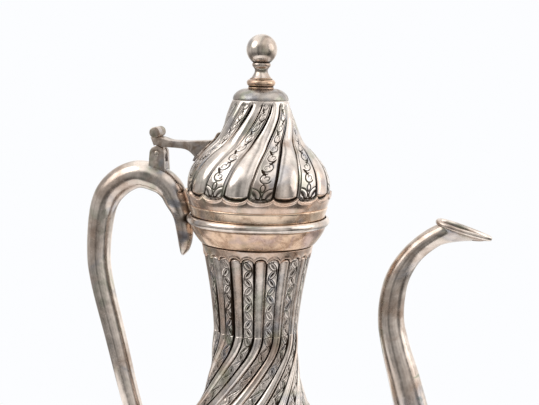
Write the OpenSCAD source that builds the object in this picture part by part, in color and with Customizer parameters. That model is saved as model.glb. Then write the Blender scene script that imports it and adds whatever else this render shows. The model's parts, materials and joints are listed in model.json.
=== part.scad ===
// Swirl-fluted coffee pot with a swan-neck spout, a horn handle and a hinged domed lid.
// Millimetres, +Z up. The origin is the middle of the foot, on the table.
// +X points to the spout, -X to the handle, and the lid's hinge pin lies along Y.

/* [Pot] */
// Height of the rim bead's middle above the table
rim_z = 196; // [160:1:240]
// Outer radius of the rim bead
rim_r = 35.7; // [29:0.1:43]
// Radius of the belly where it is widest
belly_r = 50; // [41:0.5:60]
// Radius of the neck where it is narrowest
neck_r = 21.4; // [17.5:0.1:25.7]
// Radius of the foot
foot_r = 36; // [30:0.5:43.5]
// Thickness of the sheet metal
wall = 1.2; // [1:0.1:1.5]
// Number of flutes around the belly, neck and foot
pot_flutes = 26; // [20:2:30]
// Depth of the grooves between the flutes
flute_depth = 1.2; // [0.4:0.1:1.5]
// Slant of the belly's flutes from the upright, in degrees
belly_slant = 36; // [0:1:42]

/* [Lid] */
// Height of the lid from its seat to the bottom of its cap
lid_h = 58.6; // [49:0.1:70.4]
// Number of flutes around the lid
lid_flutes = 18; // [12:2:24]
// Slant of the lid's flutes from the upright, in degrees
lid_slant = 22; // [0:1:30]
// Radius of the ball on the finial
ball_r = 7.6; // [6.3:0.1:9.2]

/* [Handle] */
// How far the grip's centre line stands out beyond the rim bead
grip_out = 49.4; // [41:0.1:59.5]
// Radius of the handle where it is thickest
handle_r = 7.2; // [6:0.1:8.7]

/* [Spout] */
// How far the middle of the mouth stands out beyond the belly
mouth_out = 47.5; // [39.5:0.5:57]
// Outer radius of the spout at its narrowest
spout_r = 4.9; // [4.2:0.1:5.9]
// Length of the pouring lip
lip_len = 28; // [23:0.5:34]
// Width of the pouring lip
lip_w = 15; // [13:0.5:18]

/* [Hinge] */
// Radius of the hinge pin
pin_r = 1.3; // [1:0.05:1.6]
// Radius of the rounded lug around the pin
lug_r = 3.8; // [3.4:0.1:4.6]
// Width of the lid strap's knuckle
knuckle_w = 3.2; // [2.6:0.1:3.9]
// Thickness of each cheek of the lug
cheek_t = 2.3; // [1.9:0.1:2.8]
// Length of the rolled thumbpiece
thumb_w = 10; // [8:0.5:12]

/* [Hidden] */

$fn = 96;
run = 0.05;        // radial running fit of a pin in its hole
side_gap = 0.3;    // gap on each side of the knuckle
seam = 0.02;       // hairline between two shells that meet on a curve
eps = 1;           // how far a cutter runs past what it cuts
sink = 0.6;        // how deep the roots of the spout and handle sit in the belly's crests
braze = 0.2;       // how deep a brazed piece sits in the one below it
root_rise = 3;     // how far the handle's root sits above the belly's widest line
elbow_rise = 17;   // the same for the bend where the handle leaves the belly

// Pot heights, all in proportion to the rim's height.
k = rim_z / 196;
ring_h = 4;
knop_z = 16 * k;
body_z = 21.5 * k;
widest_z = 59 * k;
neck_z = 140 * k;
cup_z = rim_z - 12.2;
stem_r = foot_r * 0.37;
band_r = neck_r + (rim_r - neck_r) * 0.46;

// Rim bead and the seat that the lid's edge rests on.
bead_h = 2.25;
seat_z = 0.8;
lip_r = rim_r - 1.7;
ledge_r = rim_r - 3.8;

// Lid, measured from the underside of its edge.
lid_z = rim_z + seat_z + 0.1;
edge_r = rim_r - 2.5;
bezel_r = rim_r - 3.9;
band_h = 6.6;
lid_bulge_r = rim_r + 0.3;
lid_top_r = lid_bulge_r * 0.385;
cap_z = lid_z + lid_h;
cap_h = 5.6;
cap_top_r = 6.2;
base_h = 5.2;
stem_h = 7.4;
base_z = cap_z + cap_h;
stem_z = base_z + base_h;
ball_z = stem_z + stem_h + ball_r * 0.85;
stud_r = 1.5;
nut_h = 2.2;
nut_r = 3.4;
washer_h = 0.8;
leaf_t = 1.1;
shelf_h = 8.2;

// Hinge pin's place, and the handle's centre line below it.
pin_x = -(rim_r + 16.9);
pin_z = rim_z + 30.7;
slot_w = knuckle_w + 2 * side_gap;
lug_w = slot_w + 2 * cheek_t;
arch_z = rim_z + 17.3;

// Smooth curve through the given points, with steps segments between each two.
function curve(p, steps) = concat(
    [for (i = [0:len(p) - 2], j = [0:steps - 1]) curve_point(p, i, j / steps)],
    [p[len(p) - 1]]
);
function curve_point(p, i, t) =
    let (a = p[max(i - 1, 0)], b = p[i], c = p[i + 1], d = p[min(i + 2, len(p) - 1)])
    (2 * b + (c - a) * t + (2 * a - 5 * b + 4 * c - d) * t * t + (3 * b - a - 3 * c + d) * t * t * t) / 2;

// Radius of a profile of [radius, height] points at height z.
function radius_at(profile, z) = lookup(z, [for (p = profile) [p[1], p[0]]]);
function blend(a, b, t) = a + (b - a) * t;

// Outer profiles of the fluted shells, over the crests of the flutes.
function belly_point(share, z) = [blend(neck_r, belly_r, share), z * k];
body_keys = [
    [stem_r, body_z],
    [belly_r * 0.52, 26.5 * k],
    [belly_r * 0.8, 36 * k],
    [belly_r * 0.955, 47 * k],
    [belly_r, widest_z],
    belly_point(0.93, 70.5),
    belly_point(0.7, 82),
    belly_point(0.4, 94),
    belly_point(0.17, 106),
    belly_point(0.045, 120.5),
    belly_point(0, 140)
];
body_outer = curve(body_keys, 2);
// The belly is soldered together along its widest line.
join_row = 8;
lower_outer = [for (i = [0:join_row]) body_outer[i]];
upper_outer = [for (i = [join_row:len(body_outer) - 1]) body_outer[i]];
neck_outer = [
    for (t = [0:1 / 8:1]) [blend(neck_r, band_r, pow(t, 1.5)), blend(neck_z, cup_z, t)]
];
foot_outer = [
    for (t = [0:1 / 5:1]) [blend(stem_r - 1, foot_r - 2.6, 1 - sin(90 * t)), blend(ring_h, knop_z, t)]
];
function lid_point(share, rise) = [lid_bulge_r * share, lid_z + lid_h * rise];
dome_outer = curve([
    lid_point(0.955, 0.113),
    lid_point(1, 0.252),
    lid_point(0.978, 0.36),
    lid_point(0.9, 0.464),
    lid_point(0.755, 0.57),
    lid_point(0.605, 0.662),
    lid_point(0.522, 0.765),
    lid_point(0.465, 0.87),
    lid_point(0.385, 1)
], 2);

// Angles of a crest at the foot of the lid, on the neck and at the belly's widest line.
lid_start = 3;
neck_start = -1.8;
upper_start = neck_start - whole_turn(upper_outer, belly_slant);

// Points of one row of a fluted shell: crests at the full radius, grooves depth deeper.
function flute_row(radius, z, flutes, per, depth, turn) = [
    for (j = [0:flutes * per - 1])
    let (r = radius - depth * (1 - abs(cos(180 * j / per))), a = 360 * j / (flutes * per) + turn)
    [r * cos(a), r * sin(a), z]
];
// How far the flutes turn between rows i and i + 1, at a steady slant, in degrees.
function turn_step(outer, i, slant) =
    let (a = outer[i], b = outer[min(i + 1, len(outer) - 1)])
    tan(slant) * norm(b - a) / ((a[0] + b[0]) / 2) * 180 / PI;
// The whole turn of a shell's flutes from its first row to its last.
function whole_turn(outer, slant) = [
    for (i = 0, a = 0; i < len(outer); a = a + turn_step(outer, i, slant), i = i + 1) a
][len(outer) - 1];
function fade_in(t, share) = share == 0 ? 1 : min(1, t / share);
// The two triangles of the cell between rows i and i + 1, turned round when flip is set.
function cell(n, base, i, j, flip) =
    let (a = base + i * n + j, b = base + i * n + (j + 1) % n, c = b + n, d = a + n)
    flip ? [[a, b, c], [a, c, d]] : [[c, b, a], [d, c, a]];
// Two triangles between an edge a-b of the outer wall and the same edge of the inner wall.
function side(a, b, shift) = [[a, b, b + shift], [a, b + shift, a + shift]];
// The four side walls of a hole through the cell.
function hole_walls(n, i, j, shift) =
    let (a = i * n + j, b = i * n + (j + 1) % n, c = b + n, d = a + n)
    concat(side(b, a, shift), side(c, b, shift), side(d, c, shift), side(a, d, shift));
// True where a sieve hole goes through: every second cell near +X, between rows lo and hi.
function is_hole(i, j, n, turn, lo, hi, half) =
    let (a = (360 * (j + 0.5) / n + turn + 540) % 360 - 180)
    i >= lo && i <= hi && i % 2 == 0 && j % 2 == 0 && abs(a) < half;

// Thin shell between a fluted outer wall and a plain inner wall, open at both ends.
// start is the angle of a crest at the bottom. fades is how much of the height the flutes take
// to reach their depth at the bottom and at the top.
module fluted_shell(outer, flutes, depth, slant, start, fades, holes = [1, 0, 0]) {
    inner = [for (p = outer) [p[0] - wall - depth, p[1]]];
    per = 4;
    n = flutes * per;
    rows = len(outer);
    shift = rows * n;
    turns = [for (i = 0, a = start; i < rows; a = a + turn_step(outer, i, slant), i = i + 1) a];
    depths = [
        for (i = [0:rows - 1])
        let (t = i / (rows - 1))
        depth * fade_in(t, fades[0]) * fade_in(1 - t, fades[1])
    ];
    points = concat(
        [for (i = [0:rows - 1]) each flute_row(outer[i][0], outer[i][1], flutes, per, depths[i], turns[i])],
        [for (i = [0:rows - 1]) each flute_row(inner[i][0], inner[i][1], flutes, per, 0, turns[i])]
    );
    hole = [
        for (i = [0:rows - 2])
        [for (j = [0:n - 1]) is_hole(i, j, n, turns[i], holes[0], holes[1], holes[2])]
    ];
    walls = [
        for (i = [0:rows - 2], j = [0:n - 1])
        let (both = concat(cell(n, 0, i, j, false), cell(n, shift, i, j, true)))
        each hole[i][j] ? hole_walls(n, i, j, shift) : both
    ];
    last = (rows - 1) * n;
    ends = [
        for (j = [0:n - 1])
        each concat(side(j, (j + 1) % n, shift), side(last + (j + 1) % n, last + j, shift))
    ];
    polyhedron(points, concat(walls, ends), convexity = 6);
}

// Ring of a tube around centre c = [x, z, radius] whose centre line runs along t.
function tube_ring(c, t, sides, radius) = [
    for (j = [0:sides - 1])
    let (a = 360 * j / sides, u = t / norm(t))
    [c[0] - u[1] * radius * cos(a), radius * sin(a), c[1] + u[0] * radius * cos(a)]
];
function tangent(path, i) =
    let (a = path[max(i - 1, 0)], b = path[min(i + 1, len(path) - 1)])
    [b[0] - a[0], b[1] - a[1]];
// Moves a ring along X on to the belly, side is 1 at the spout and -1 at the handle.
function on_belly(ring, side) = [
    for (p = ring)
    let (r = radius_at(body_outer, p[2]) - sink)
    [side * sqrt(r * r - p[1] * p[1]), p[1], p[2]]
];
function tube_faces(rows, n, flip, base) = [
    for (i = [0:rows - 2], j = [0:n - 1]) each cell(n, base, i, j, flip)
];
function cap_face(n, start, flip) = [for (j = [0:n - 1]) start + (flip ? n - 1 - j : j)];

// Foot: a flat-bottomed ring, a fluted shell that rises to a knop, and the belly's floor.
module foot_ring() {
    flat_w = 2.4;
    color("silver")
        rotate_extrude()
            translate([foot_r - flat_w - ring_h / 2, 0])
                union() {
                    square([flat_w, ring_h]);
                    translate([flat_w, ring_h / 2]) circle(ring_h / 2, $fn = 32);
                }
}

module foot_shell() {
    color("silver")
        fluted_shell(foot_outer, pot_flutes, flute_depth * 0.8, 0, 0, [0.3, 0.3]);
}

module foot_knop() {
    h = body_z - knop_z;
    core_w = 3.5;
    core_r = stem_r - 4;
    color("silver")
        rotate_extrude()
            difference() {
                union() {
                    translate([core_r, knop_z]) square([core_w, h]);
                    translate([core_r + core_w - 0.1, knop_z + h / 2]) circle(h * 0.36, $fn = 40);
                }
                translate([core_r - core_w, knop_z - eps]) square([core_w, h + 2 * eps]);
            }
}

// Lower belly, with the sieve that is pierced through its wall behind the spout's root.
module body_lower() {
    start = upper_start - whole_turn(lower_outer, belly_slant);
    color("silver")
        fluted_shell(lower_outer, pot_flutes, flute_depth, belly_slant, start, [0.2, 0], [3, 6, 11]);
}

module body_upper() {
    color("silver")
        fluted_shell(upper_outer, pot_flutes, flute_depth, belly_slant, upper_start, [0, 0]);
}

module body_floor() {
    floor_r = stem_r - wall - flute_depth;
    color("silver")
        translate([0, 0, body_z])
            cylinder(r = floor_r - seam, h = wall);
}

module neck() {
    color("silver")
        fluted_shell(neck_outer, pot_flutes, flute_depth, 0, neck_start, [0, 0.12]);
}

// Outline of the cup under the rim: a groove, then a convex bowl.
function cup_outline(inset) = concat(
    [
        [band_r - 0.6 - inset, cup_z],
        [band_r - 0.6 - inset, rim_z - 11.5],
        [band_r + 0.9 - inset, rim_z - 11]
    ],
    [
        for (t = [0.2:0.2:1])
        [blend(band_r + 0.9, rim_r - 1.4, 1 - pow(1 - t, 1.35)) - inset, blend(rim_z - 11, rim_z - bead_h, t)]
    ]
);

module rim_cup() {
    inside = cup_outline(1.35 * wall);
    color("silver")
        rotate_extrude()
            polygon(concat(cup_outline(0), [for (i = [len(inside) - 1:-1:0]) inside[i]]));
}

// Half-round bead with an inner ledge that carries the lid's edge.
module rim_bead() {
    color("silver")
        translate([0, 0, rim_z])
            rotate_extrude()
                difference() {
                    union() {
                        translate([rim_r - bead_h, 0]) circle(bead_h, $fn = 48);
                        translate([ledge_r, -bead_h]) square([rim_r - bead_h - ledge_r, 2 * bead_h]);
                    }
                    translate([ledge_r - eps, seat_z]) square([lip_r - ledge_r + eps, bead_h]);
                    translate([ledge_r - bead_h, -bead_h - eps]) square([bead_h, 2 * bead_h + 2 * eps]);
                }
}

// Spout: the centre line leaves the belly low down and ends at the mouth, as [x, z, radius].
function spout_key(out, z, r) = [belly_r + out, z * k, spout_r * r];
mouth_x = belly_r + mouth_out;
mouth_z = rim_z + 1.6;
mouth_tilt = 15.5;
spout_path = curve([
    spout_key(-3, 50, 2.75),
    spout_key(7, 53, 2.5),
    spout_key(22, 61, 2.18),
    spout_key(32, 77, 1.93),
    spout_key(32.5, 97, 1.75),
    spout_key(27, 119.5, 1.6),
    spout_key(22, 136, 1.43),
    spout_key(19, 150, 1.32),
    [belly_r + mouth_out * 0.41, rim_z - 32, spout_r * 1.25],
    [belly_r + mouth_out * 0.473, rim_z - 21.5, spout_r * 1.15],
    [belly_r + mouth_out * 0.6, rim_z - 11.9, spout_r * 1.03],
    [belly_r + mouth_out * 0.77, rim_z - 4.5, spout_r],
    [mouth_x, mouth_z, spout_r * 1.04]
], 2);
// Moves a ring along the spout's last direction on to the mouth's plane.
function on_mouth(ring) =
    let (t = tangent(spout_path, len(spout_path) - 1), n = [sin(mouth_tilt), cos(mouth_tilt)])
    [
        for (p = ring)
        let (s = ((mouth_x - p[0]) * n[0] + (mouth_z - p[2]) * n[1]) / (t[0] * n[0] + t[1] * n[1]))
        [p[0] + s * t[0], p[1], p[2] + s * t[1]]
    ];
function spout_rings(inset, sides) = [
    for (i = [0:len(spout_path) - 1])
    let (c = spout_path[i], ring = tube_ring(c, tangent(spout_path, i), sides, c[2] - inset))
    each i == 0 ? on_belly(ring, 1) : i == len(spout_path) - 1 ? on_mouth(ring) : ring
];

module spout() {
    sides = 20;
    rows = len(spout_path);
    shift = rows * sides;
    last = (rows - 1) * sides;
    ends = [
        for (j = [0:sides - 1])
        each concat(side((j + 1) % sides, j, shift), side(last + j, last + (j + 1) % sides, shift))
    ];
    faces = concat(tube_faces(rows, sides, true, 0), tube_faces(rows, sides, false, shift), ends);
    color("silver")
        polyhedron(concat(spout_rings(0, sides), spout_rings(wall, sides)), faces, convexity = 8);
}

// Leaf outline of the pouring lip, inset all round, with its inner end at x = 0.
function leaf_outline(len_, width, inset) = concat(
    [for (a = [0:10:180]) leaf_point(len_, width, inset, a)],
    [for (a = [190:10:350]) leaf_point(len_, width, inset, a)]
);
function leaf_point(len_, width, inset, a) =
    let (t = (1 - cos(a)) / 2, half = width / 2 * pow(sin(180 * pow(t, 0.72)), 0.8))
    [inset + t * (len_ - 2 * inset), sign(180 - a) * max(0, half * (1 - 2 * inset / width))];

module spout_mouth() {
    mouth_t = 2.2;
    rim_w = 1.3;
    bore_r = spout_r - wall;
    bore_len = 2 * bore_r / 0.69;
    back = lip_len * 0.33;
    color("silver")
        translate([mouth_x, 0, mouth_z])
            rotate([0, mouth_tilt, 0])
                difference() {
                    translate([-back, 0, 0])
                        linear_extrude(mouth_t)
                            polygon(leaf_outline(lip_len, lip_w, 0));
                    translate([-back, 0, mouth_t / 2])
                        linear_extrude(mouth_t)
                            polygon(leaf_outline(lip_len, lip_w, rim_w));
                    translate([0, 0, -eps])
                        linear_extrude(mouth_t + 2 * eps)
                            polygon([for (a = [0:15:345]) [bore_len / 2 * cos(a), bore_r * sin(a)]]);
                }
}

// Handle: from the belly up the grip, over the arch under the hinge, down to the horn's tip.
function grip_key(out, z, r) = [-(rim_r + out), rim_z + z, handle_r * r];
handle_path = curve([
    [-(belly_r - 2), widest_z + root_rise, handle_r * 0.75],
    [-(belly_r + 8.5), widest_z + elbow_rise, handle_r * 0.7],
    [-(belly_r + grip_out * 0.32), 93 * k, handle_r * 0.69],
    grip_key(grip_out * 0.8, -67.6 * k, 0.76),
    grip_key(grip_out * 0.965, -37 * k, 0.82),
    grip_key(grip_out, -19.7, 0.86),
    grip_key(grip_out * 0.948, 1.9, 0.95),
    grip_key(grip_out * 0.81, 13.1, 1),
    grip_key(grip_out * 0.577, 19.3, 0.98),
    [pin_x, arch_z, handle_r * 0.96],
    grip_key(10.6, 13, 0.92),
    grip_key(7.2, 7, 0.83),
    grip_key(handle_r * 0.59, 0, 0.6),
    grip_key(3.1, -9, 0.48),
    grip_key(3, -17, 0.33),
    grip_key(3.8, -20.9, 0.1)
], 3);

module handle() {
    sides = 20;
    rows = len(handle_path);
    rings = [
        for (i = [0:rows - 1])
        let (c = handle_path[i], ring = tube_ring(c, tangent(handle_path, i), sides, c[2]))
        each i == 0 ? on_belly(ring, -1) : ring
    ];
    caps = [cap_face(sides, 0, true), cap_face(sides, (rows - 1) * sides, false)];
    color("silver")
        polyhedron(rings, concat(tube_faces(rows, sides, true, 0), caps), convexity = 8);
}

// Draws a side view, x to the right and z up, as a plate of the given width across Y.
module across(width) {
    translate([0, width / 2, 0])
        rotate([90, 0, 0])
            linear_extrude(width)
                children();
}

// Lug with two cheeks and a slot, brazed on the arch of the handle.
module hinge_lug() {
    // Direction of the handle's centre line below the pin.
    prev = grip_key(grip_out * 0.577, 19.3, 0);
    next = grip_key(10.6, 13, 0);
    lean = atan2(prev[1] - next[1], next[0] - prev[0]);
    foot_w = lug_r + 0.8;
    foot_z = arch_z + 2;
    color("silver")
        difference() {
            across(lug_w)
                union() {
                    translate([pin_x, pin_z]) circle(lug_r);
                    polygon([
                        [pin_x - lug_r, pin_z],
                        [pin_x - foot_w, foot_z],
                        [pin_x + foot_w, foot_z],
                        [pin_x + lug_r, pin_z]
                    ]);
                }
            translate([pin_x - 2 * lug_r, -slot_w / 2, pin_z - lug_r - side_gap])
                cube([4 * lug_r, slot_w, 3 * lug_r]);
            translate([pin_x, 0, pin_z])
                rotate([90, 0, 0])
                    cylinder(r = pin_r, h = lug_w + 2 * eps, center = true);
            translate([pin_x, 0, arch_z])
                rotate([0, 90 + lean, 0])
                    cylinder(r = handle_r * 0.96 - braze, h = 6 * lug_r, center = true);
        }
}

module hinge_pin() {
    color("gainsboro")
        translate([pin_x, 0, pin_z])
            rotate([90, 0, 0])
                cylinder(r = pin_r, h = lug_w, center = true);
}

// Lid: band, bezel, fluted dome, cap.
module lid_band() {
    top = lid_z + band_h;
    top_r = dome_outer[0][0];
    outer = [for (t = [0:0.25:1]) [blend(edge_r, top_r, pow(t, 1.4)), blend(lid_z, top, t)]];
    color("wheat")
        rotate_extrude()
            polygon(concat(outer, [
                [top_r - wall - flute_depth, top],
                [bezel_r, lid_z + 3.5],
                [bezel_r, lid_z]
            ]));
}

// Tapered flange below the lid that keeps it centred in the cup.
module lid_bezel() {
    taper_r = bezel_r - 2;
    tip_t = 0.9;
    drop = 3.8;
    collar_h = 3;
    collar_t = 1.6;
    color("silver")
        translate([0, 0, lid_z])
            rotate_extrude()
                polygon([
                    [bezel_r, collar_h],
                    [bezel_r, 0],
                    [bezel_r - 0.4, 0],
                    [taper_r, -drop],
                    [taper_r - tip_t, -drop],
                    [bezel_r - collar_t, 0],
                    [bezel_r - collar_t, collar_h]
                ]);
}

module lid_dome() {
    color("silver")
        fluted_shell(dome_outer, lid_flutes, flute_depth, lid_slant, lid_start, [0.12, 0.12]);
}

module lid_cap() {
    steps = 8;
    hole_r = stud_r + run;
    outer = [
        for (i = [0:steps])
        let (a = 90 * i / steps)
        [blend(lid_top_r, cap_top_r, 1 - cos(a)), cap_z + cap_h * sin(a)]
    ];
    under = [
        for (i = [steps:-1:0])
        let (a = 90 * i / steps)
        [blend(lid_top_r, cap_top_r, 1 - cos(a)) - wall - flute_depth, cap_z + (cap_h - wall) * sin(a)]
    ];
    color("silver")
        rotate_extrude()
            polygon(concat(outer, [[hole_r, cap_z + cap_h], [hole_r, cap_z + cap_h - wall]], under));
}

// Rows of the dome that the leaf covers, from the strap's foot to the leaf's tip.
leaf_rows = [for (p = dome_outer) if (p[1] > pin_z - 4 && p[1] < pin_z + 13) p];

// Leaf that spreads the strap's load over the dome.
module lid_leaf() {
    half_angle = 12;
    color("silver")
        rotate([0, 0, 180 - half_angle])
            rotate_extrude(angle = 2 * half_angle)
                polygon(concat(
                    [for (p = leaf_rows) [p[0] + seam, p[1]]],
                    [for (i = [len(leaf_rows) - 1:-1:0]) [leaf_rows[i][0] + leaf_t, leaf_rows[i][1]]]
                ));
}

// Strap from the leaf to the knuckle, curled up towards the thumbpiece.
module lid_strap() {
    clear_r = lug_r + 0.45;
    strap_w = lug_w;
    high_z = pin_z + 7.6;
    weld = [for (p = leaf_rows) if (p[1] < high_z) [-(p[0] + leaf_t + seam), p[1]]];
    weld_top = [-(radius_at(dome_outer, high_z) + leaf_t + 0.3), high_z];
    // Side view as seen from the pin: the strap's top, the curl below the thumb roll, its underside.
    top = curve([[20, 7], [14, 6.7], [7, 6.8], [3.5, 7.7]], 3);
    curl = [[1.4, shelf_h], [-3.3, shelf_h], [-1.6, 4]];
    underside = curve([[3.4, 3.5], [13, 3.2], [17, 2.1], [20, -0.5]], 3);
    color("silver")
        difference() {
            union() {
                across(strap_w)
                    difference() {
                        polygon(concat(
                            weld,
                            [weld_top],
                            [for (p = concat(top, curl, underside)) [pin_x + p[0], pin_z + p[1]]]
                        ));
                        translate([pin_x, pin_z]) circle(clear_r);
                    }
                across(knuckle_w)
                    union() {
                        translate([pin_x, pin_z]) circle(lug_r - side_gap);
                        translate([pin_x - 1.2, pin_z]) square([4, lug_r + 1.2]);
                    }
            }
            translate([pin_x, 0, pin_z])
                rotate([90, 0, 0])
                    cylinder(r = pin_r + run, h = strap_w + 2 * eps, center = true);
        }
}

module thumb_roll() {
    roll_r = 2.75;
    flat_h = 0.35;
    color("silver")
        translate([pin_x - 1, 0, pin_z + shelf_h + roll_r - flat_h])
            rotate([90, 0, 0])
                difference() {
                    cylinder(r = roll_r, h = thumb_w, center = true);
                    translate([-2 * roll_r, -roll_r - eps, -thumb_w])
                        cube([4 * roll_r, flat_h + eps, 2 * thumb_w]);
                }
}

// Finial: everything above the cap is held down by one stud with a nut inside the lid.
module finial_base() {
    color("silver")
        translate([0, 0, base_z])
            rotate_extrude()
                difference() {
                    union() {
                        square([cap_top_r, 1.2]);
                        translate([0, 1.2]) square([cap_top_r + 0.2, 2.9]);
                        translate([cap_top_r + 0.2, 2.05]) circle(0.85, $fn = 32);
                        translate([cap_top_r, 3.45]) circle(0.65, $fn = 32);
                        translate([0, 4.1]) square([cap_top_r - 1, base_h - 4.1]);
                    }
                    translate([-2, -eps]) square([2 + stud_r + run, base_h + 2 * eps]);
                }
}

module finial_stem() {
    waist = curve([[5, 0], [4.2, 1.8], [3.7, 4], [4.1, 5.8], [5.4, 7.1]], 4);
    hole_r = stud_r + run;
    color("silver")
        difference() {
            translate([0, 0, stem_z])
                rotate_extrude()
                    polygon(concat(
                        [[hole_r, 0]],
                        waist,
                        [[5.4, stem_h + 1.6], [hole_r, stem_h + 1.6]]
                    ));
            translate([0, 0, ball_z]) sphere(ball_r + seam);
        }
}

module finial_ball() {
    color("silver")
        difference() {
            translate([0, 0, ball_z]) sphere(ball_r);
            translate([0, 0, ball_z - 2 * ball_r])
                cylinder(r = stud_r + run, h = 2 * ball_r, $fn = 48);
        }
}

nut_z = base_z - wall - washer_h - nut_h - seam;

module finial_stud() {
    tail = 1.5;
    tip_gap = 0.4;
    color("goldenrod")
        translate([0, 0, nut_z - tail])
            cylinder(r = stud_r, h = ball_z - nut_z + tail - tip_gap, $fn = 48);
}

module finial_washer() {
    color("goldenrod")
        translate([0, 0, nut_z + nut_h])
            difference() {
                cylinder(r = nut_r + 0.6, h = washer_h, $fn = 48);
                translate([0, 0, -eps]) cylinder(r = stud_r + run, h = washer_h + 2 * eps, $fn = 48);
            }
}

module finial_nut() {
    color("goldenrod")
        translate([0, 0, nut_z])
            difference() {
                cylinder(r = nut_r, h = nut_h, $fn = 6);
                translate([0, 0, -eps]) cylinder(r = stud_r + run, h = nut_h + 2 * eps, $fn = 48);
            }
}

foot_ring();
foot_shell();
foot_knop();
body_floor();
body_lower();
body_upper();
neck();
rim_cup();
rim_bead();
spout();
spout_mouth();
handle();
hinge_lug();
hinge_pin();
lid_band();
lid_bezel();
lid_dome();
lid_cap();
lid_leaf();
lid_strap();
thumb_roll();
finial_base();
finial_stem();
finial_ball();
finial_stud();
finial_washer();
finial_nut();
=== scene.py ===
"""Looks of a swirl-fluted, silver-plated coffee pot with a swan-neck spout, a horn handle and a hinged lid.

Lengths are in millimetres while a shape is worked out, and become metres where a mesh is made.
"""

import json
import logging
import math
from collections.abc import Callable
from dataclasses import dataclass, field
from enum import Enum

import bmesh
import bpy
import numpy as np
from mathutils import Matrix, Vector

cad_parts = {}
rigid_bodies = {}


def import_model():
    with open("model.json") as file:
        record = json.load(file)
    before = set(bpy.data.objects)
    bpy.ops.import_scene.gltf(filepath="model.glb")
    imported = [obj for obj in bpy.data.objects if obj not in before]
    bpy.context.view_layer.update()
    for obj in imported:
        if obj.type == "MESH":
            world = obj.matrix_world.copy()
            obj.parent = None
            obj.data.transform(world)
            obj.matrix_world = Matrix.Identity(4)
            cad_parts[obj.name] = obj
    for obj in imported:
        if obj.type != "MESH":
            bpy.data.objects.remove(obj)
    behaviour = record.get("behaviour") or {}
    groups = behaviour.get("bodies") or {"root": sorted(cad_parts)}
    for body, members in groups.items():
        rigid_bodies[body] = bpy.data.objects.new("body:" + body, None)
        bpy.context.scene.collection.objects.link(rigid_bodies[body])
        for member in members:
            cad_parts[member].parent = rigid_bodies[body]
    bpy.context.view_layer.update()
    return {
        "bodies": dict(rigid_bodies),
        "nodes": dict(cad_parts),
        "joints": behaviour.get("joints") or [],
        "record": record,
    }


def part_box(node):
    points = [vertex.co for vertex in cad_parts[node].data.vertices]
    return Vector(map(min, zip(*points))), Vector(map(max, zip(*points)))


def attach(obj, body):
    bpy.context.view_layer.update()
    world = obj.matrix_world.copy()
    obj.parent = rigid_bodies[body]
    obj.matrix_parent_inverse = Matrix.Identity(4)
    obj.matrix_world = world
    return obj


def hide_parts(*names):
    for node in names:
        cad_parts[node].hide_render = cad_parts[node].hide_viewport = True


log = logging.getLogger("coffee_pot")

MM = 0.001
FLAT_ANGLE, BEVEL_ANGLE, SHADE_ANGLE = (math.radians(degrees) for degrees in (1.5, 32, 50))
STUD_HOLE = 1.6


# ---------------------------------------------------------------- numbers and curves


def linear(code: str) -> tuple[float, float, float, float]:
    """Turns an sRGB hex colour into linear RGBA.

    Args:
        code: The colour as "#rrggbb".

    Returns:
        The four linear channels, with alpha 1.
    """
    channels = [int(code[i : i + 2], 16) / 255 for i in (1, 3, 5)]
    toned = [c / 12.92 if c <= 0.04045 else ((c + 0.055) / 1.055) ** 2.4 for c in channels]
    return (*toned, 1.0)


def curve(keys: list, steps: int) -> np.ndarray:
    """Draws a smooth curve through points.

    Args:
        keys: The points, each a list of the same length.
        steps: How many segments lie between two points.

    Returns:
        The curve's points, one to a row.
    """
    p = np.array(keys, float)
    padded = np.vstack([2 * p[0] - p[1], p, 2 * p[-1] - p[-2]])
    t = np.linspace(0, 1, steps, endpoint=False)[:, None]
    spans = []
    for a, b, c, d in zip(padded, padded[1:], padded[2:], padded[3:]):
        cubic = 2 * b + (c - a) * t + (2 * a - 5 * b + 4 * c - d) * t**2 + (3 * b - a - 3 * c + d) * t**3
        spans.append(cubic / 2)
    return np.vstack([*spans, p[-1:]])


def arc(centre: tuple[float, float], radius: float, start: float, end: float, steps: int) -> list:
    """Gives the points of an arc in the radius-height plane, angles in degrees."""
    angles = np.radians(np.linspace(start, end, steps + 1))
    return [[centre[0] + radius * math.cos(a), centre[1] + radius * math.sin(a)] for a in angles]


def lengths_along(points: np.ndarray) -> np.ndarray:
    """Gives the distance along a line of points up to each of them."""
    return np.concatenate([[0], np.cumsum(np.linalg.norm(np.diff(points, axis=0), axis=1))])


def ease(x: np.ndarray, low: float, high: float) -> np.ndarray:
    """Rises smoothly from 0 at low to 1 at high."""
    t = np.clip((x - low) / (high - low), 0, 1)
    return t * t * (3 - 2 * t)


def wander(a: np.ndarray, b: np.ndarray, seed: int) -> np.ndarray:
    """Adds up a few slow waves over two coordinates, between about -1 and 1, the same at each run."""
    rng = np.random.default_rng(seed)
    total = np.zeros(np.broadcast(a, b).shape)
    for _ in range(6):
        fa, fb, phase = rng.uniform(-1, 1), rng.uniform(-1, 1), rng.uniform(0, 2 * math.pi)
        total += np.sin(fa * a + fb * b + phase)
    return total / 3


# ---------------------------------------------------------------- meshes


def placed(name: str, data: bpy.types.ID) -> bpy.types.Object:
    """Makes an object with this data and puts it in the scene."""
    made = bpy.data.objects.new(name, data)
    bpy.context.scene.collection.objects.link(made)
    return made


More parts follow.
